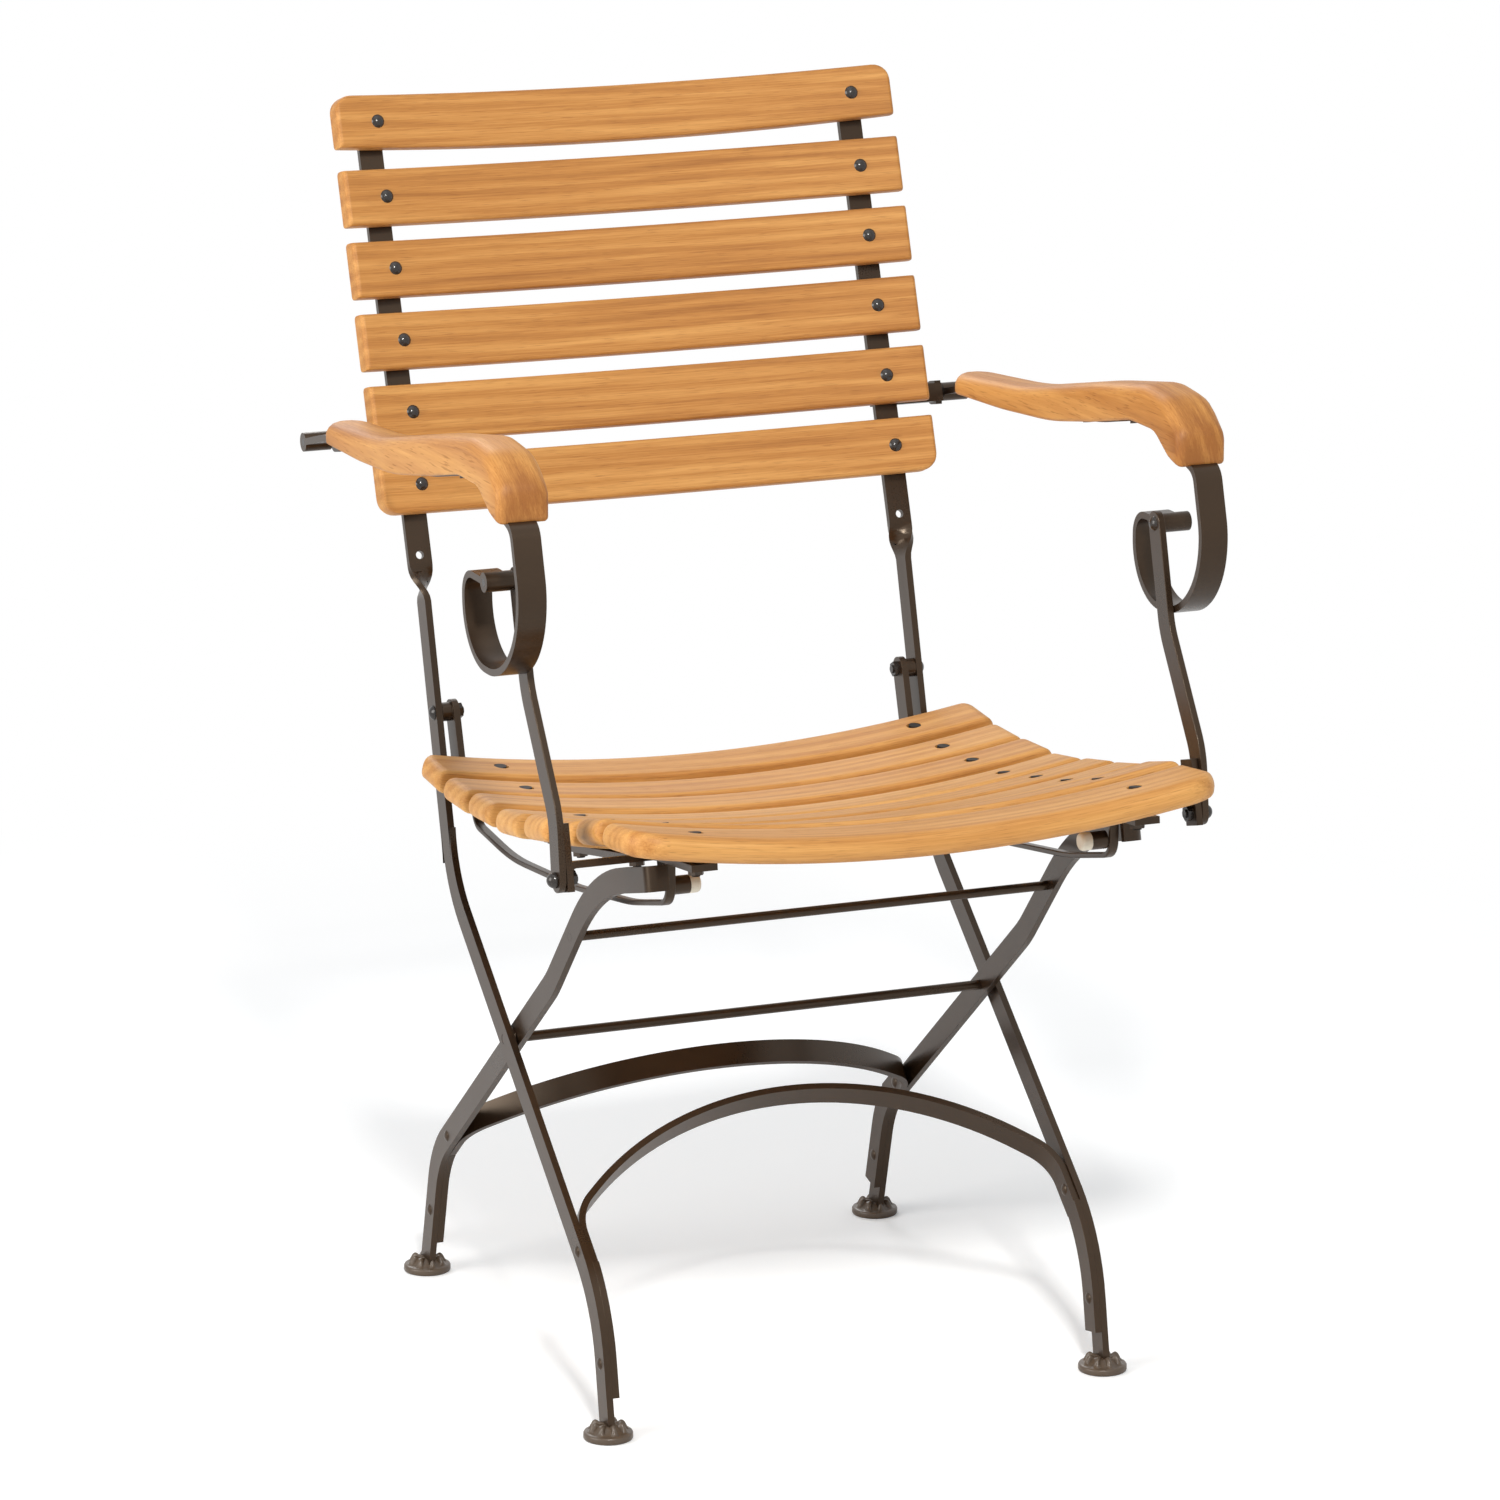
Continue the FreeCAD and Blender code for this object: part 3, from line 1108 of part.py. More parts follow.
# Set the origin under the middle of the whole outline
boxes = [obj.Shape.optimalBoundingBox(False) for obj in NODES.values()]
shift = -(min(box.YMin for box in boxes) + max(box.YMax for box in boxes)) / 2
print("moved along y by %.3f" % shift)
os.makedirs("parts", exist_ok=True)
for label, obj in NODES.items():
    shape = obj.Shape.copy()
    shape.translate(Vector(0, shift, 0))
    print("%-22s %2d solid %10.0f mm3" % (label, len(shape.Solids), shape.Volume))
    shape.exportStep("parts/%s.step" % label)
print(len(NODES), "nodes")
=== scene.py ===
import json
import math

import bmesh
import bpy
import numpy as np
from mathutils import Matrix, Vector

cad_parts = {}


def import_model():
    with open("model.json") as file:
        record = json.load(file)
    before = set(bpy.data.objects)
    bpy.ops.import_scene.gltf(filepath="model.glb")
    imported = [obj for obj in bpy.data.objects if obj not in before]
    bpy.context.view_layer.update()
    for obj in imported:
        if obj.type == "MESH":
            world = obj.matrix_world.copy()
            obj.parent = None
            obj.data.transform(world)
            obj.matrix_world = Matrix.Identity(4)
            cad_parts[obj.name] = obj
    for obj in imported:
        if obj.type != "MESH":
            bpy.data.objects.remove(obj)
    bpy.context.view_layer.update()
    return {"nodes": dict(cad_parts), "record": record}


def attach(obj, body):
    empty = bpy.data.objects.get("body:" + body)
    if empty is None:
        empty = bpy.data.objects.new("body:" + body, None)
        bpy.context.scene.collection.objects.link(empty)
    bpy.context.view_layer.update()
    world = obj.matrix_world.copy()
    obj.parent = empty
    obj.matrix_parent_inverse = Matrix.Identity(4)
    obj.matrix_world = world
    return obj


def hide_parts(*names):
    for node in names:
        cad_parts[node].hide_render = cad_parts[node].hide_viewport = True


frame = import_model()
nodes = frame["nodes"]
record = frame["record"]
BODY = {node: body for body, members in record["behaviour"]["bodies"].items() for node in members}
SLOT = {part["node"]: part["material_slot"] for part in record["subparts"]}

# The shapes are given in millimetres and in the axes of the part's source, and world() turns them
# into metres in the frame. The frame's origin lies MOVE_Y in front of that of the source.
MM = 0.001
MOVE_Y = 17.935
SIDES = (("right", 1), ("left", -1))


# Meshes

def world(x, y, z):
    """Points in metres in the frame, from arrays of millimetres."""
    x, y, z = np.broadcast_arrays(x, y, z)
    return np.stack([x, y + MOVE_Y, z], axis=-1) * MM


def signed_volume(points, faces):
    """Sum over the fan triangles of each face of a . (b x c) / 6."""
    total = 0.0
    for face in faces:
        corner = points[face]
        first = np.broadcast_to(corner[0], corner[1:-1].shape)
        total += np.einsum("ij,ij->", first, np.cross(corner[1:-1], corner[2:])) / 6
    return total


def grid_faces(rows, columns):
    """Quads between rows of closed rings, and a face that closes each end."""
    i, j = np.meshgrid(np.arange(rows - 1), np.arange(columns), indexing="ij")
    k = (j + 1) % columns
    low, high = i * columns, (i + 1) * columns
    quads = np.stack([low + j, low + k, high + k, high + j], axis=-1)
    ring = np.arange(columns)
    return [*quads.reshape(-1, 4), ring[::-1], (rows - 1) * columns + ring]


def make_piece(node, ending, rings, material, sharp=35.0, grain=None, tone=0.0):
    """Mesh through rings of points in place of a CAD node, smooth but for edges over an angle.

    grain is the place in the timber of each point, and the last argument makes its wood lighter or darker:
    its own tone, and painted shade on some pieces."""
    points = rings.reshape(-1, 3)
    faces = grid_faces(*rings.shape[:2])
    if signed_volume(points, faces) < 0:
        faces = [face[::-1] for face in faces]
    mesh = bpy.data.meshes.new(node + ending)
    mesh.from_pydata(points.tolist(), [], [face.tolist() for face in faces])
    mesh.validate()
    mesh.polygons.foreach_set("use_smooth", np.ones(len(mesh.polygons), dtype=bool))
    mesh.set_sharp_from_angle(angle=math.radians(sharp))
    if grain is not None:
        layer = mesh.attributes.new("grain", "FLOAT_VECTOR", "POINT")
        layer.data.foreach_set("vector", np.ascontiguousarray(grain.reshape(-1), dtype=np.float32))
        layer = mesh.attributes.new("tone", "FLOAT", "POINT")
        tones_and_shade = np.broadcast_to(np.asarray(tone, dtype=np.float32).reshape(-1), len(mesh.vertices))
        layer.data.foreach_set("value", np.ascontiguousarray(tones_and_shade))
    mesh.update()
    return add_object(node, ending, mesh, material)


def add_object(node, ending, mesh, material):
    """Object of a mesh at the origin, riding on the body of the CAD node that it replaces."""
    piece = bpy.data.objects.new(node + ending, mesh)
    bpy.context.scene.collection.objects.link(piece)
    mesh.materials.clear()
    mesh.materials.append(material)
    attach(piece, BODY[node])
    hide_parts(node)
    return piece


# Points of a CAD mesh closer than WELD are one, and faces within FLAT degrees are one plane
WELD, FLAT = 0.002, 0.4
# Angle in degrees between two faces of a bar from which their edge counts as one
BAR_CORNER = 30.0


def bar_piece(node, material, edge):
    """Merged copy of a CAD node, with flat faces made whole and edges rounded by a bevel."""
    shape = bmesh.new()
    shape.from_mesh(nodes[node].data)
    bmesh.ops.remove_doubles(shape, verts=shape.verts, dist=WELD * MM)
    bmesh.ops.dissolve_limit(shape, angle_limit=math.radians(FLAT), verts=shape.verts, edges=shape.edges)
    bmesh.ops.recalc_face_normals(shape, faces=shape.faces)
    mesh = bpy.data.meshes.new(node + "_finish")
    shape.to_mesh(mesh)
    shape.free()
    if "custom_normal" in mesh.attributes:
        mesh.attributes.remove(mesh.attributes["custom_normal"])
    mesh.polygons.foreach_set("use_smooth", np.ones(len(mesh.polygons), dtype=bool))
    piece = add_object(node, "_finish", mesh, material)
    if edge:
        bevel = piece.modifiers.new("edge", "BEVEL")
        bevel.width = edge * MM
        bevel.segments = 2
        bevel.limit_method = "ANGLE"
        bevel.angle_limit = math.radians(BAR_CORNER)
        bevel.harden_normals = True
    else:
        mesh.set_sharp_from_angle(angle=math.radians(BAR_CORNER))
    return piece


def quarter(count=5):
    """Angles of a quarter circle."""
    return np.linspace(0.0, math.pi / 2, count)


def section(low, high, bottom, top, radii, lines):
    """Closed ring at each station: straight runs at the given fractions, joined by quarter circles.

    low, high, bottom and top are the sides of the section at each station. The radii are those of
    the corners bottom low, bottom high, top high and top low, cut down to half the height.
    Returns across and up, stations by ring."""
    sides = (low, high, bottom, top)
    low, high, bottom, top = [np.asarray(side, dtype=float)[:, None] for side in sides]
    half = (top - bottom) / 2
    first, second, third, fourth = [np.minimum(radius, half) for radius in radii]
    share = np.asarray(lines)[None, :]
    turn = quarter()[None, 1:-1]
    sin, cos = np.sin(turn), np.cos(turn)
    back_run = low + fourth + share * (high - low - third - fourth)
    across = [low + first + share * (high - low - first - second),
              high - second + second * sin, high, high, high - third + third * cos,
              back_run[:, ::-1],
              low + fourth - fourth * sin, low, low, low + first - first * cos]
    up = [bottom + 0 * share,
          bottom + second - second * cos, bottom + second, top - third, top - third + third * sin,
          top + 0 * share,
          top - fourth + fourth * cos, top - fourth, bottom + first, bottom + first - first * sin]
    return np.concatenate(across, axis=1), np.concatenate(up, axis=1)


def corner_inset(x, half, radius):
    """How far a rounded corner draws a side in at x: r - sqrt(r^2 - (|x| - (half - r))^2)."""
    past = np.clip(np.abs(x) - (half - radius), 0.0, radius)
    return radius - np.sqrt(radius ** 2 - past ** 2)


def stations(half, *radii):
    """Places along a bar: a few on its run, and close ones on each radius at its ends."""
    places = [np.linspace(0.0, half - max(radii), 15)]
    places += [half - radius + radius * np.sin(quarter(8)) for radius in radii]
    right = np.unique(np.round(np.concatenate(places), 4))
    return np.concatenate([-right[:0:-1], right])


def rounded_line(corners, at):
    """Height and slope at each place of a line of straight runs, joined by tangent arcs.

    The corners are (place, height) at the ends and (place, height, radius) between them. Where two
    runs meet at an angle 2 h, the arc begins r / tan(h) before the corner and ends as far behind
    it, and its centre lies r / sin(h) inside the corner."""
    at = np.asarray(at, dtype=float)
    points = np.array([corner[:2] for corner in corners])
    run = np.clip(np.searchsorted(points[:, 0], at) - 1, 0, len(points) - 2)
    steps = np.diff(points, axis=0)
    slope = (steps[:, 1] / steps[:, 0])[run]
    height = points[run, 1] + slope * (at - points[run, 0])
    for before, (place, level, radius), after in zip(corners, corners[1:-1], corners[2:]):
        corner = np.array([place, level])
        back, ahead = np.array(before[:2]) - corner, np.array(after[:2]) - corner
        back, ahead = back / np.hypot(*back), ahead / np.hypot(*ahead)
        half = math.acos(back @ ahead) / 2
        centre = corner + (back + ahead) / np.hypot(*(back + ahead)) * radius / math.sin(half)
        reach = radius / math.tan(half)
        on_arc = (at > place + back[0] * reach) & (at < place + ahead[0] * reach)
        off = np.where(on_arc, at - centre[0], 0.0)
        rise = math.copysign(1.0, level - centre[1]) * np.sqrt(radius ** 2 - off ** 2)
        height = np.where(on_arc, centre[1] + rise, height)
        slope = np.where(on_arc, -off / rise, slope)
    return height, slope


# Shader maths

class Wire:
    """A socket in a node tree. Arithmetic on it adds Math nodes."""

    def __init__(self, tree, socket=None):
        self.tree = tree
        self.socket = socket

    def into(self, socket, value):
        """Give a socket of the tree a value, or a link if the value is a wire."""
        if isinstance(value, Wire):
            self.tree.links.new(value.socket, socket)
        else:
            socket.default_value = value

    def node(self, kind, out=0, settings=(), **inputs):
        """New node: its settings are set first, then its sockets get values or links.

        out is the name or number of the output. An input is named, or numbered as in _0."""
        made = self.tree.nodes.new(kind)
        for key, value in dict(settings).items():
            if key == "stops":
                while len(made.color_ramp.elements) < len(value):
                    made.color_ramp.elements.new(0.5)
                for element, (place, colour) in zip(made.color_ramp.elements, value):
                    element.position = place
                    element.color = colour
            else:
                setattr(made, key, value)
        for key, value in inputs.items():
            self.into(made.inputs[int(key[1:]) if key[0] == "_" else key.replace("_", " ")], value)
        return Wire(self.tree, made.outputs[out])

    def maths(self, operation, first, second=0.0):
        return self.node("ShaderNodeMath", settings={"operation": operation}, _0=first, _1=second)

    def __add__(self, other):
        return self.maths("ADD", self, other)

    __radd__ = __add__

    def __sub__(self, other):
        return self.maths("SUBTRACT", self, other)

    def __mul__(self, other):
        return self.maths("MULTIPLY", self, other)

    def swing(self, amount):
        """From half the amount below 0 to half the amount above it, for a value from 0 to 1."""
        return (self - 0.5) * amount

    def stretched(self, along, across):
        """The vector times one scale on its first axis and another on the other two."""
        return self.node("ShaderNodeVectorMath", settings={"operation": "MULTIPLY"}, _0=self,
                         _1=(along, across, across))

    def length(self):
        """The vector's length."""
        return self.node("ShaderNodeVectorMath", "Value", {"operation": "LENGTH"}, _0=self)

    def noise(self, scale, detail=2.0, roughness=0.5, distortion=0.0):
        """Noise texture on this vector, from 0 to 1."""
        return self.node("ShaderNodeTexNoise", Vector=self, Scale=scale, Detail=detail,
                         Roughness=roughness, Distortion=distortion)

    def between(self, low, high):
        """0 below low, 1 above high and a smooth step between them."""
        return self.node("ShaderNodeMapRange", settings={"interpolation_type": "SMOOTHSTEP"},
                         Value=self, From_Min=low, From_Max=high)

    def mix(self, first, second):
        """First colour where this is 0 and second where it is 1."""
        return self.node("ShaderNodeMix", 2, {"data_type": "RGBA"}, _0=self, _6=first, _7=second)

    def place(self):
        """Place of the shaded point, in metres."""
        return self.node("ShaderNodeTexCoord", "Object")

    def shown(self):
        """1 for the rays that show the background: from the camera, mirrored or through glass."""
        rays = ("Is Camera Ray", "Is Glossy Ray", "Is Transmission Ray")
        return sum(self.node("ShaderNodeLightPath", ray) for ray in rays)

    def bump(self, height, strength, distance):
        return self.node("ShaderNodeBump", Strength=strength, Distance=distance, Height=height)


def new_material(name):
    """A material, a wire in its tree and its shader."""
    material = bpy.data.materials.new(name)
    material.use_nodes = True
    tree = material.node_tree
    return material, Wire(tree), tree.nodes["Principled BSDF"]


def feed(wire, shader, **sockets):
    """Values or links into the shader's sockets."""
    for key, value in sockets.items():
        wire.into(shader.inputs[key.replace("_", " ")], value)


def rgb(red, green, blue):
    """Linear colour of a colour as a screen shows it, from 0 to 255."""
    def linear(level):
        level = level / 255
        return level / 12.92 if level <= 0.04045 else ((level + 0.055) / 1.055) ** 2.4
    return (linear(red), linear(green), linear(blue), 1.0)


# Materials. Scales of noise are in waves a metre, and bumps are in metres.

# The boards lie beside the pith of the tree, whose rings repeat at RING_RATE radians a metre
PITH, RING_RATE = (0.0, 0.02, 0.075), 620.0


def teak():
    """Oiled teak on the attribute grain: its x runs along the fibres."""
    material, wire, shader = new_material("teak")
    grain = wire.node("ShaderNodeAttribute", "Vector", {"attribute_name": "grain"})
    # This attribute holds each piece's own tone, and painted shade on the back slats and the armrests
    tone = wire.node("ShaderNodeAttribute", "Fac", {"attribute_name": "tone"})
    broad = grain.stretched(2.2, 45.0).noise(1.0, 3.0, 0.55)
    streak = grain.stretched(4.0, 170.0).noise(1.0, 5.0, 0.65, 0.4)
    fibre = grain.stretched(14.0, 900.0).noise(1.0, 3.0, 0.6)
    # Growth rings: distance from the pith, drawn out along the fibres and bent a little
    bend = grain.stretched(2.5, 14.0).noise(1.0, 3.0)
    from_pith = wire.node("ShaderNodeVectorMath", settings={"operation": "ADD"},
                          _0=grain.stretched(0.045, 1.0), _1=PITH)
    rings = wire.maths("SINE", (from_pith.length() + bend * 0.03) * RING_RATE) * 0.5 + 0.5
    pores = grain.stretched(55.0, 2100.0).noise(1.0, 1.0).between(0.6, 0.72)
    level = 0.5 + broad.swing(0.66) + streak.swing(0.48) + fibre.swing(0.5) - rings.swing(0.15) + tone
    stops = [(0.0, rgb(148, 92, 40)), (0.3, rgb(183, 125, 62)), (0.55, rgb(206, 151, 84)),
             (0.8, rgb(219, 170, 106)), (1.0, rgb(231, 188, 129))]
    wood = wire.node("ShaderNodeValToRGB", settings={"stops": stops}, Fac=level)
    height = streak * 0.5 + fibre * 0.5 - pores * 0.6
    feed(wire, shader, Base_Color=(pores * 0.42).mix(wood, rgb(118, 68, 32)),
         Roughness=0.5 + streak.swing(0.16) + pores * 0.12, Normal=wire.bump(height, 0.35, 0.00025),
         IOR=1.4)
    return material


def powder_coat():
    """Dark bronze powder coat: a fine orange peel and slightly uneven gloss."""
    material, wire, shader = new_material("powder_coated_steel")
    place = wire.place()
    peel = place.noise(900.0, 2.0)
    cloud = place.noise(14.0, 3.0)
    speck = place.noise(2600.0, 1.0).between(0.62, 0.75)
    colour = (cloud * 0.6 + speck * 0.4).mix(rgb(34, 23, 14), rgb(52, 37, 25))
    feed(wire, shader, Base_Color=colour, Metallic=0.0,
         Roughness=0.3 + cloud.swing(0.12) + peel.swing(0.06), Normal=wire.bump(peel, 0.12, 0.0002),
         IOR=1.5, Specular_Tint=(1.0, 0.8, 0.62, 1.0))
    return material


def lacquer(name, roughness, index):
    """Black of the bolts: glossy on the domes, duller on the flush heads."""
    material, wire, shader = new_material(name)
    place = wire.place()
    haze = place.noise(320.0, 3.0)
    colour = haze.mix(rgb(26, 23, 21), rgb(46, 40, 36))
    feed(wire, shader, Base_Color=colour, Roughness=roughness + haze * 0.12,
         Normal=wire.bump(place.noise(1400.0, 1.0), 0.06, 0.0001), IOR=index)
    return material


def dark_metal():
    """Satin dark finish of rivets, screws and nuts."""
    material, wire, shader = new_material("dark_screws")
    place = wire.place()
    haze = place.noise(420.0, 3.0)
    colour = haze.mix(rgb(52, 44, 38), rgb(92, 80, 70))
    feed(wire, shader, Base_Color=colour, Metallic=0.6, Roughness=0.34 + haze * 0.14,
         Normal=wire.bump(place.noise(1800.0, 1.0), 0.1, 0.0001))
    return material


def plastic(name, dark, pale, roughness, depth):
    """Moulded plastic with a fine spark texture."""
    material, wire, shader = new_material(name)
    place = wire.place()
    spark = place.noise(1500.0, 2.0)
    cloud = place.noise(60.0, 2.0)
    feed(wire, shader, Base_Color=(cloud * 0.7 + spark * 0.3).mix(rgb(*dark), rgb(*pale)),
         Roughness=roughness + spark.swing(0.12), Normal=wire.bump(spark, depth, 0.0002))
    return material


TEAK = teak()
FLUSH = lacquer("flush_bolts", 0.5, 1.25)
FINISH = {
    "powder_coated_steel": powder_coat(),
    "black_bolts": lacquer("black_bolts", 0.16, 1.5),
    "dark_screws": dark_metal(),
    "foot_plastic": plastic("foot_plastic", (66, 54, 43), (92, 77, 62), 0.36, 0.15),
    "pale_plastic": plastic("pale_plastic", (205, 196, 176), (224, 216, 198), 0.42, 0.08),
}


# Teak pieces

# Straight runs of a section, as fractions
RUN = np.linspace(0.0, 1.0, 9)
SLAT_EDGE, SLAT_CORNER = 3.0, 13.0
# How far apart in the timber the boards of the slats were cut
BOARD_ALONG, BOARD_ACROSS = 700.0, 90.0


def timber(along, across, deep):
    """Place of each point in the timber, in metres. The fibres run along."""
    return np.stack(np.broadcast_arrays(along, across, deep), axis=-1) * MM


# Slats of the back: plates bent about upright axes, hollow towards the sitter

RECLINE = math.radians(18.95)
# Point on the flat part of the uprights from which heights along the back are counted
BACK_Y, BACK_Z = 198.3, 614.6
BACK_BOW, BACK_THICK, BACK_HALF, BACK_TALL = 2100.0, 15.0, 222.5, 41.6
# Distance out of the uprights at which the hollow faces stand at the middle
SLAT_FRONT = 9.6
# Heights of the slats' middles: evenly spaced, but for the top one
LOWEST, PITCH, TOP_PITCH = -6.6, 53.6, 56.2
SLAT_UPS = [LOWEST + 4 * PITCH + TOP_PITCH] + [LOWEST + PITCH * k for k in (4, 3, 2, 1, 0)]
# How much the top slat's upper and lower edges sag at the middle
SMILE_TOP, SMILE_LOW = 2.6, 5.0
# Painted shade: the back slats are painted darker than the seat slats, most at the top and least at the
# lowest slat; the small steps between them are their own tone.
BACK_TONES_AND_SHADE = (-0.2, -0.19, -0.18, -0.17, -0.19, -0.09)


def back_point(x, up, out):
    """Point at a height along the back and a distance out of its front."""
    sin, cos = math.sin(RECLINE), math.cos(RECLINE)
    return world(x, BACK_Y + up * sin - out * cos, BACK_Z + up * cos + out * sin)


def back_slat(number, tone):
    """Plate bent about an axis in front of it: x = (bow + w) sin(t), out = front + bow - (bow + w) cos(t)."""
    x = stations(BACK_HALF, SLAT_EDGE, SLAT_CORNER)
    inset = corner_inset(x, BACK_HALF, SLAT_EDGE)
    high = np.full_like(x, BACK_TALL / 2)
    low = -high
    share = (x / BACK_HALF) ** 2
    if number == 1:
        high = high - SMILE_TOP * (1 - share) - corner_inset(x, BACK_HALF, SLAT_CORNER)
        low = low + SMILE_LOW * (share - 0.5)
    if number == len(SLAT_UPS):
        low = low + corner_inset(x, BACK_HALF, SLAT_CORNER)
    across, deep = section(low, high, inset, BACK_THICK - inset, (SLAT_EDGE,) * 4, RUN)
    turn = np.arcsin(x / (BACK_BOW + BACK_THICK / 2))[:, None]
    reach = BACK_BOW + deep
    up = SLAT_UPS[number - 1] + across
    points = back_point(reach * np.sin(turn), up, SLAT_FRONT + BACK_BOW - reach * np.cos(turn))
    grain = timber(x[:, None] + BOARD_ALONG * number, across + BOARD_ACROSS * number, deep)
    make_piece("back_slat_%d" % number, "_teak", points, TEAK, grain=grain, tone=tone)


# Slats of the seat: plates bent about axes above them, square to the line through their bolt heads

SEAT_CORNERS = [(-335.0, 467.5), (-245.0, 457.0, 150.0), (-190.0, 442.5, 300.0), (-70.0, 420.5, 250.0),
                (35.0, 416.2, 250.0), (142.0, 425.0)]
# From the rear to the front
SEAT_STATIONS = (84.0, 31.0, -22.0, -78.0, -135.0, -186.0, -238.0, -298.5)
SEAT_LINE = list(zip(SEAT_STATIONS, *rounded_line(SEAT_CORNERS, SEAT_STATIONS)))
SEAT_BOW, SEAT_THICK, SEAT_HALF = 1200.0, 18.0, 222.0
SEAT_WIDE, FRONT_WIDE, FRONT_NOSE = 41.5, 60.0, 7.5
SEAT_CORNER, FRONT_CORNER = 5.0, 28.0
SEAT_BOLT_X = 165.6
# Height of the bolts' places above the middle of a slat: bow - sqrt(bow^2 - x^2)
SEAT_RISE = SEAT_BOW - math.sqrt(SEAT_BOW ** 2 - SEAT_BOLT_X ** 2)
# The last ring of a slat's round end stands this far inside it
END_GAP = 0.05
SINK, SINK_RADIUS, SINK_PATCH = 3.0, 5.25, 12.0
# Up to this share of the patch its lines are circles round the bolt
PATCH_ROUND = 0.62
# Lines of the patch round a bolt: the floor of its hole, the rim and the wood round it
PATCH = np.array([0.0, 0.22, SINK_RADIUS / SINK_PATCH, 0.47, PATCH_ROUND, 0.8, 1.0])
PATCH = np.concatenate([-PATCH[:0:-1], PATCH]) * SINK_PATCH
# Width without other stations beside a patch, and room for rounding errors at its lines
PATCH_CLEAR, CLOSE = 1.0, 0.01
SEAT_TONES = (-0.05, 0.0, -0.05, 0.05, 0.02, 0.03, -0.03, -0.04)
SEAT_BOARD_ALONG, SEAT_BOARD_DEEP = 300.0, 40.0


def sink_bolts(along, across, deep):
    """Sink the bolt holes into the top of a slat, given by its points from above and their depth.

    Round a bolt the square lines of the grid become circles: a point at (a, b) from the bolt moves
    to (a, b) max(|a|, |b|) / sqrt(a^2 + b^2), and less so towards the edge of the patch."""
    a = along - np.where(along < 0, -SEAT_BOLT_X, SEAT_BOLT_X)
    b = across
    reach = np.maximum(np.abs(a), np.abs(b))
    squeeze = np.where(reach < SINK_PATCH + CLOSE, reach / np.maximum(np.hypot(a, b), 1e-9), 1.0)
    fade = np.clip((reach / SINK_PATCH - PATCH_ROUND) / (1 - PATCH_ROUND), 0.0, 1.0)
    squeeze = squeeze + (1 - squeeze) * fade
    hole = reach < SINK_RADIUS + CLOSE
    return along + a * (squeeze - 1), b * squeeze, deep + np.where(hole, SINK, 0.0)


def seat_slat(number, tone):
    """Plate bent about an axis above it, with rounded ends and a counterbore for each bolt."""
    y, z, slope = SEAT_LINE[number - 1]
    tilt = -math.atan(slope)
    front = number == len(SEAT_LINE)
    wide = FRONT_WIDE if front else SEAT_WIDE
    fore = FRONT_CORNER if front else SEAT_CORNER
    aft = SLAT_CORNER if number == 1 else SEAT_CORNER
    nose = FRONT_NOSE if front else SLAT_EDGE
    ball = SEAT_THICK / 2
    plain = stations(SEAT_HALF, ball, fore, aft)
    plain = plain[np.abs(np.abs(plain) - SEAT_BOLT_X) > SINK_PATCH + PATCH_CLEAR]
    x = np.unique(np.concatenate([plain, SEAT_BOLT_X + PATCH, -SEAT_BOLT_X + PATCH]))
    x = x[np.abs(x) < SEAT_HALF - END_GAP]
    inset = corner_inset(x, SEAT_HALF, ball)
    high = wide / 2 - corner_inset(x, SEAT_HALF, fore)
    low = -wide / 2 + corner_inset(x, SEAT_HALF, aft)
    lines = np.concatenate([[-wide / 2 + SLAT_EDGE], PATCH, [wide / 2 - nose]])
    lines = (lines - lines[0]) / (lines[-1] - lines[0])
    radii = (SLAT_EDGE, nose, nose, SLAT_EDGE)
    across, deep = section(low, high, inset, SEAT_THICK - inset, radii, lines)
    along = np.broadcast_to(x[:, None], across.shape).copy()
    # The first run of the ring is the top
    top = (slice(None), slice(len(lines)))
    along[top], across[top], deep[top] = sink_bolts(along[top], across[top], deep[top])
    turn = np.arcsin(along / (SEAT_BOW + ball))
    reach = SEAT_BOW + deep
    down = SEAT_RISE - SEAT_BOW + reach * np.cos(turn)
    # Forward along the line and down through the wood, in the side view
    fore_y, fore_z = -math.cos(tilt), math.sin(tilt)
    down_y, down_z = -fore_z, fore_y
    points = world(reach * np.sin(turn), y + down_y * down + fore_y * across,
                   z + down_z * down + fore_z * across)
    grain = timber(along + BOARD_ALONG * number + SEAT_BOARD_ALONG, across + BOARD_ACROSS * number,
                   deep + SEAT_BOARD_DEEP)
    make_piece("seat_slat_%d" % number, "_teak", points, TEAK, grain=grain, tone=tone)


# Armrests

# Side view of the wood, from the front to the rear
UNDERSIDE = [(-213.52, 672.0), (-213.5, 667.0, 2.0), (-196.0, 671.5, 18.0), (-172.0, 686.5, 25.0),
             (-130.0, 686.8, 60.0), (-68.0, 673.8, 300.0), (6.0, 660.7, 400.0), (87.0, 655.1, 600.0),
             (176.5, 652.5)]
TOPSIDE = [(-213.5, 683.5), (-211.9, 693.1, 18.7), (-188.9, 712.5, 32.2), (-150.0, 716.2, 70.0),
           (-70.0, 703.2, 500.0), (60.0, 676.7, 500.0), (176.0, 667.0)]
WOOD_IN, WOOD_WIDE = 235.7, 38.1
WOOD_LIP, WOOD_SHOULDER, CROWN = 2.5, 8.5, 1.4
WOOD_FRONT, WOOD_REAR = -213.4, 176.0
NOSE_ROUND, TAIL_ROUND = 6.0, 17.0
# Between these the stations are evenly spaced
EVEN_FRONT, EVEN_REAR, EVEN_COUNT = -206.5, 157.0, 64
# From TOE_START backwards the arms turn towards the middle
TOE_START, TOE_REAR, TOE_IN = 20.0, 177.0, 5.0
# Where the nose begins to be painted darker, and by how much at its front: partly for its end grain, partly
# painted shade
NOSE_SHADE_FROM, NOSE_SHADE = -196.0, 0.18
# Painted shade: the armrests are painted darker all over than the seat slats.
ARM_PAINTED_SHADE = -0.2
# Place in the timber. Its growth layers lie close across the arm and far apart along its height.
ARM_BOARD_ALONG, ARM_BOARD_ACROSS = 900.0, 40.0
LAYER_ACROSS, LAYER_UP, LAYER_DEEP = 1.5, 0.25, 0.22
LAYER_MIDDLE, LAYER_LOW = 690.0, 600.0


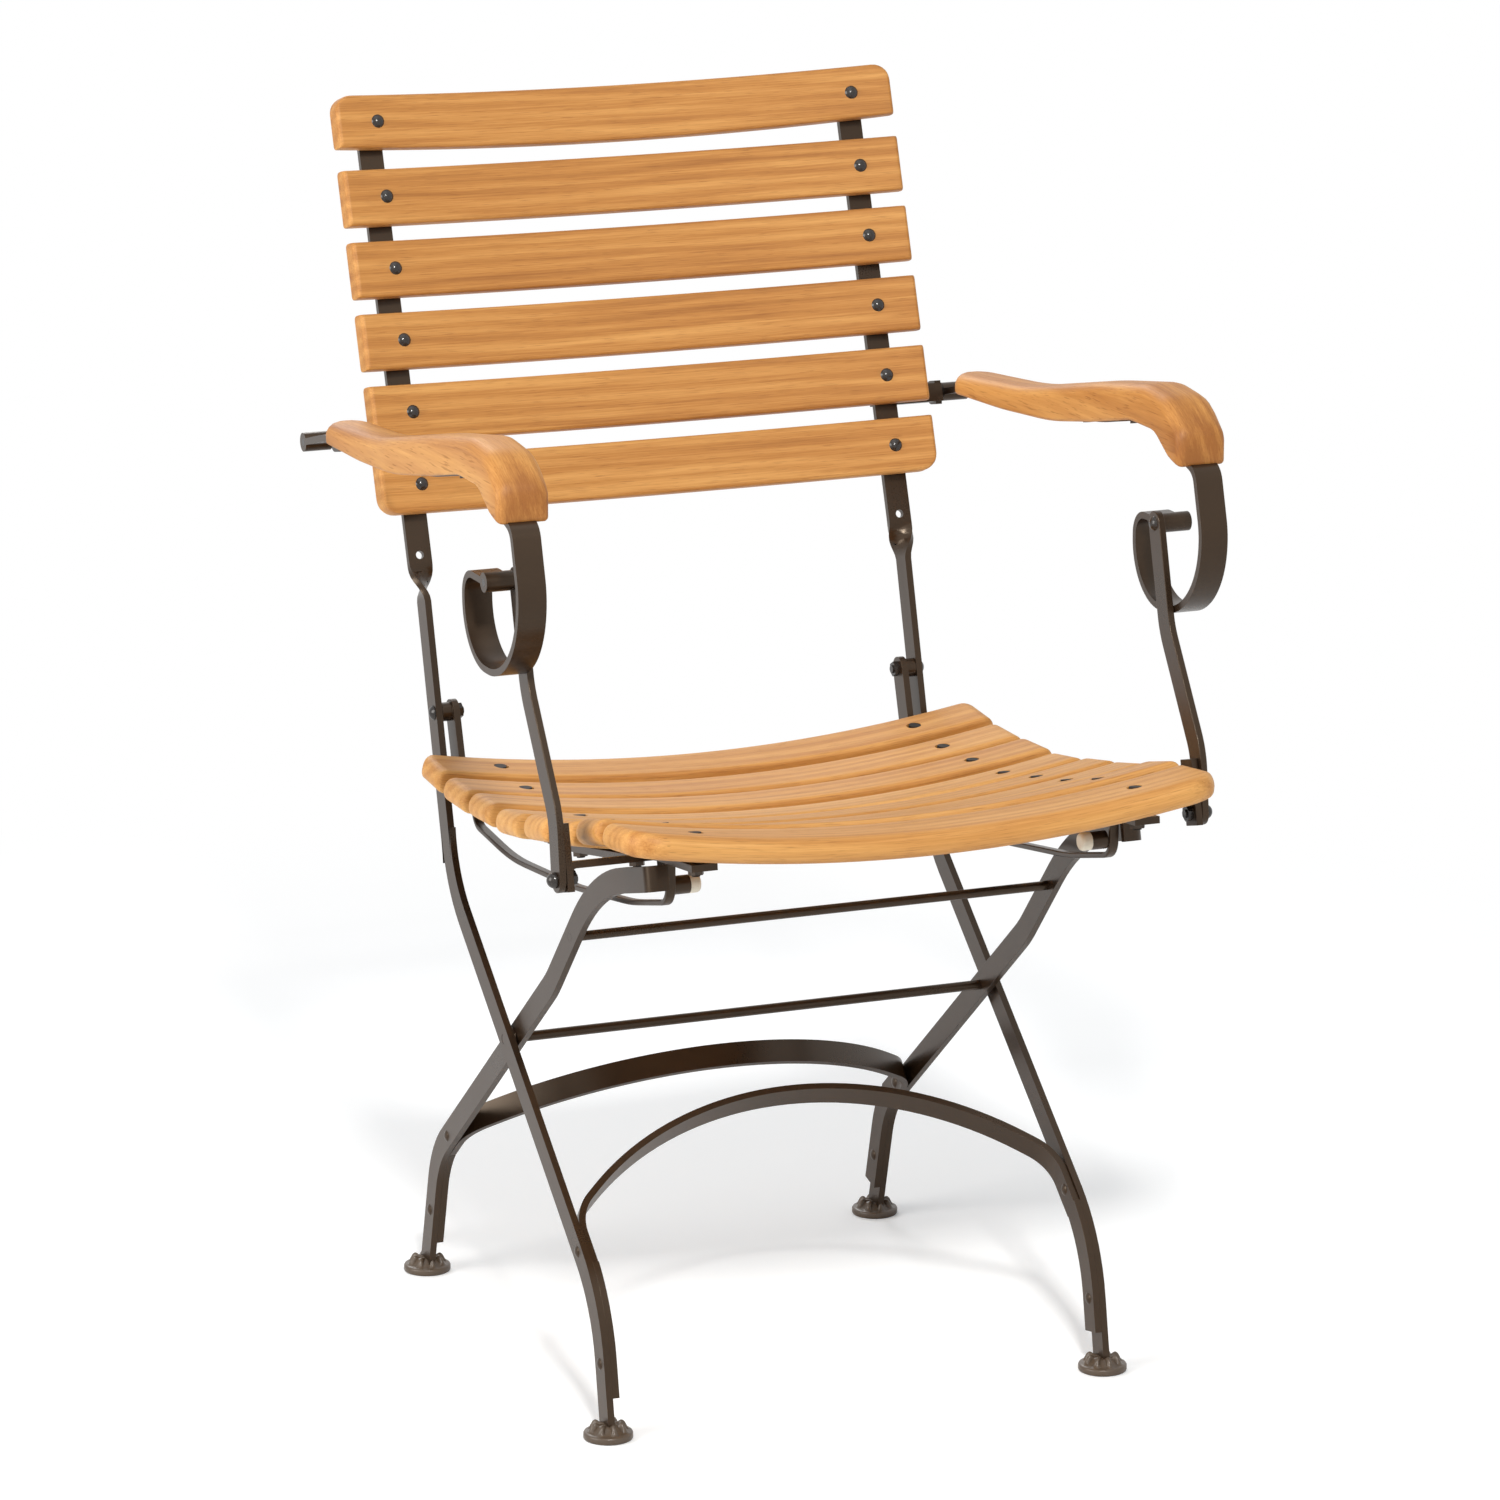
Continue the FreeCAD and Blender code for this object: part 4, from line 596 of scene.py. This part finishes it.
def armrest(node, side):
    """Bar between an under line and a top line, both read along y, with a crown across its top."""
    front = WOOD_FRONT + NOSE_ROUND * (1 - np.cos(quarter(9)))
    rear = WOOD_REAR - TAIL_ROUND * (1 - np.cos(quarter(9)))
    y = np.concatenate([front, np.linspace(EVEN_FRONT, EVEN_REAR, EVEN_COUNT), rear])
    y = np.unique(np.round(y, 3))
    low_z = rounded_line(UNDERSIDE, y)[0]
    top_z = rounded_line(TOPSIDE, y)[0]
    half_long = (WOOD_REAR - WOOD_FRONT) / 2
    from_middle = y - (WOOD_REAR + WOOD_FRONT) / 2
    draw = np.where(from_middle > 0, corner_inset(from_middle, half_long, TAIL_ROUND),
                    corner_inset(from_middle, half_long, NOSE_ROUND))
    half_wide = WOOD_WIDE / 2 - draw
    thin = corner_inset(from_middle, half_long, WOOD_LIP)
    across, up = section(-half_wide, half_wide, low_z + thin, top_z - thin,
                         (WOOD_LIP, WOOD_LIP, WOOD_SHOULDER, WOOD_SHOULDER), RUN)
    crown = CROWN * (across / (WOOD_WIDE / 2)) ** 2 * (up > (low_z + top_z)[:, None] / 2)
    toe = np.clip((y - TOE_START) / (TOE_REAR - TOE_START), 0.0, 1.0)[:, None] * TOE_IN
    middle = side * (WOOD_IN + WOOD_WIDE / 2 - toe)
    along = y[:, None]
    layers = LAYER_ACROSS * across + LAYER_UP * (up - LAYER_MIDDLE) + ARM_BOARD_ACROSS * side
    grain = timber(along + ARM_BOARD_ALONG * side, layers, LAYER_DEEP * (up - LAYER_LOW))
    # The nose is painted darker towards its front: partly for its end grain, which takes more oil, and partly
    # as painted shade on its front face
    nose = np.clip((NOSE_SHADE_FROM - y) / (NOSE_SHADE_FROM - WOOD_FRONT), 0.0, 1.0)[:, None] + 0 * across
    make_piece(node, "_teak", world(middle + across, along, up - crown), TEAK, grain=grain,
               tone=ARM_PAINTED_SHADE - NOSE_SHADE * nose)


# Feet

FOOT_Y = {"front": -200.2, "rear": 201.5}
FOOT_X = {"front": 192.5, "rear": 185.0}
RIBS, RIB_POWER = 8, 0.7
FOOT_STEPS = 96
# Profile of the pad from the middle of its sole to the middle of its top: radius, height between
# the ribs and height of the ribs above that
PAD = np.array([
    (0.4, 0.0, 0.0), (16.6, 0.0, 0.0), (17.3, 0.3, 0.0), (17.7, 1.1, 0.0), (17.7, 4.0, 0.0),
    (17.2, 4.9, 0.0), (16.2, 5.3, 0.0), (14.6, 5.4, 0.5), (13.6, 5.8, 2.6), (12.4, 6.6, 4.1),
    (11.0, 7.6, 4.4), (9.6, 8.8, 3.6), (8.6, 9.6, 2.4), (7.6, 10.2, 1.0), (0.4, 10.4, 0.0)])


def foot(end, name, side):
    """Round pad with a flat rim and radial ribs: z = base(r) + rise(r) max(0, cos(8 a))^0.7."""
    radius, base, rise = PAD.T[:, :, None]
    angle = np.arange(FOOT_STEPS) * 2 * math.pi / FOOT_STEPS
    ribs = np.maximum(np.cos(RIBS * angle), 0.0) ** RIB_POWER
    x = side * FOOT_X[end] + radius * np.cos(angle)
    y = FOOT_Y[end] + radius * np.sin(angle)
    node = "%s_foot_%s" % (end, name)
    make_piece(node, "_pad", world(x, y, base + rise * ribs), FINISH[SLOT[node]], sharp=50.0)


for number, tone in enumerate(BACK_TONES_AND_SHADE, 1):
    back_slat(number, tone)
for number, tone in enumerate(SEAT_TONES, 1):
    seat_slat(number, tone)
for name, side in SIDES:
    armrest("armrest_" + name, side)
    for end in FOOT_Y:
        foot(end, name, side)


# The other nodes keep their CAD shape

MADE = ("back_slat", "seat_slat", "armrest_right", "armrest_left", "front_foot", "rear_foot")
# Radius of the edges of bars, by the beginning of the node's name
EDGE = {"upright": 0.9, "rear_leg": 0.9, "front_arch": 0.7, "rear_arch": 0.7, "seat_rail": 0.8,
        "strut": 0.8, "arm_strap": 0.8, "arm_bracket": 0.6, "seat_lug": 0.6, "guide_rod": 1.2}
# How far the heads of the seat bolts come up in their sinks
HEAD_RISE = 0.5
# Largest distances of a head's points from its place on the seat line, along it and square to it
HEAD_ALONG, HEAD_DEEP = 8.0, 1.0


def raise_heads(mesh):
    """Bring the tops of the seat bolts up to the wood around them."""
    points = np.empty(len(mesh.vertices) * 3)
    mesh.vertices.foreach_get("co", points)
    points = points.reshape(-1, 3)
    for y, z, slope in SEAT_LINE:
        tilt = -math.atan(slope)
        sin, cos = math.sin(tilt), math.cos(tilt)
        off_y = points[:, 1] / MM - MOVE_Y - y
        off_z = points[:, 2] / MM - z
        depth = -off_y * sin - off_z * cos
        ahead = -off_y * cos + off_z * sin
        top = (np.abs(ahead) < HEAD_ALONG) & (np.abs(depth) < HEAD_DEEP)
        points[top] += np.array([0.0, sin, cos]) * HEAD_RISE * MM
    mesh.vertices.foreach_set("co", points.reshape(-1))
    mesh.update()


for node in nodes:
    if node.startswith(MADE):
        continue
    edge = next((value for key, value in EDGE.items() if node.startswith(key)), 0.0)
    if "bolt" in node or "rivet" in node:
        edge = 0.0
    piece = bar_piece(node, FLUSH if node == "seat_bolts" else FINISH[SLOT[node]], edge)
    if node == "seat_bolts":
        raise_heads(piece.data)


# Floor, light and camera, in metres

WHITE = (1.0, 1.0, 1.0, 1.0)
FLOOR_HALF = 40.0
# Between these distances from the origin the floor turns from lit to plain white
WHITE_FROM, WHITE_TO = 0.6, 1.6
# Strength of the white world as a light. Where it shows, it has a strength of 1.
SKY_LIGHT = 0.38


def floor():
    """Pale floor level with the feet, which keeps the shadow and fades to plain white."""
    mesh = bpy.data.meshes.new("floor")
    far = FLOOR_HALF
    corners = [(-far, -far, 0), (far, -far, 0), (far, far, 0), (-far, far, 0)]
    mesh.from_pydata(corners, [], [(0, 1, 2, 3)])
    plane = bpy.data.objects.new("floor", mesh)
    bpy.context.scene.collection.objects.link(plane)
    material, wire, shader = new_material("pale_floor")
    feed(wire, shader, Base_Color=(0.93, 0.94, 0.955, 1.0), Roughness=0.9)
    shade = Wire(wire.tree, shader.outputs[0])
    white = wire.node("ShaderNodeEmission", Color=WHITE, Strength=1.0)
    # The camera sees the shadow a little lighter and bluer
    glow = wire.node("ShaderNodeEmission", Color=(0.86, 0.95, 1.0, 1.0), Strength=0.16)
    lighter = wire.node("ShaderNodeAddShader", _0=shade, _1=glow)
    seen = wire.node("ShaderNodeLightPath", "Is Camera Ray")
    near = wire.node("ShaderNodeMixShader", _0=seen, _1=shade, _2=lighter)
    share = wire.shown() * wire.place().length().between(WHITE_FROM, WHITE_TO)
    surface = wire.node("ShaderNodeMixShader", _0=share, _1=near, _2=white)
    wire.into(wire.tree.nodes["Material Output"].inputs["Surface"], surface)
    mesh.materials.append(material)


def sky():
    """White world: full white to the camera and in reflections, softer as a light."""
    studio = bpy.data.worlds.new("studio")
    bpy.context.scene.world = studio
    studio.use_nodes = True
    wire = Wire(studio.node_tree)
    feed(wire, studio.node_tree.nodes["Background"], Color=WHITE,
         Strength=SKY_LIGHT + wire.shown() * (1 - SKY_LIGHT))


def lamp(name, place, target, wide, power, colour=(1.0, 1.0, 1.0)):
    """Square soft lamp that faces a target."""
    data = bpy.data.lights.new(name, "AREA")
    data.size = wide
    data.energy = power
    data.color = colour
    light = bpy.data.objects.new(name, data)
    bpy.context.scene.collection.objects.link(light)
    light.location = place
    facing = Vector(target) - Vector(place)
    light.rotation_euler = facing.to_track_quat("-Z", "Y").to_euler()


floor()
sky()
lamp("key", (-0.8, -2.9, 3.0), (0.0, 0.0, 0.3), 0.4, 96.0, (1.0, 0.985, 0.95))
lamp("top", (-0.4, -0.4, 3.4), (0.0, 0.0, 0.4), 2.4, 12.0)
lamp("side", (-3.2, -0.3, 1.5), (0.0, 0.0, 0.5), 1.8, 66.0, (1.0, 0.97, 0.93))
lamp("rear", (0.2, 2.8, 2.2), (0.0, 0.0, 0.3), 1.0, 22.0)

# The camera of the photograph: place in the source's axes, degrees down and to the right, and lens
CAMERA_AT = (-1.8068, -4.4104, 1.6279)
CAMERA_DOWN, CAMERA_RIGHT = 14.04, 22.25
LENS, SENSOR = 162.03, 36.0

camera_data = bpy.data.cameras.new("camera")
camera_data.lens = LENS
camera_data.sensor_width = SENSOR
camera = bpy.data.objects.new("camera", camera_data)
bpy.context.scene.collection.objects.link(camera)
camera.location = Vector(CAMERA_AT) + Vector((0.0, MOVE_Y * MM, 0.0))
camera.rotation_euler = (math.radians(90.0 - CAMERA_DOWN), 0.0, math.radians(-CAMERA_RIGHT))
bpy.context.scene.camera = camera
bpy.context.scene.view_settings.view_transform = "Standard"
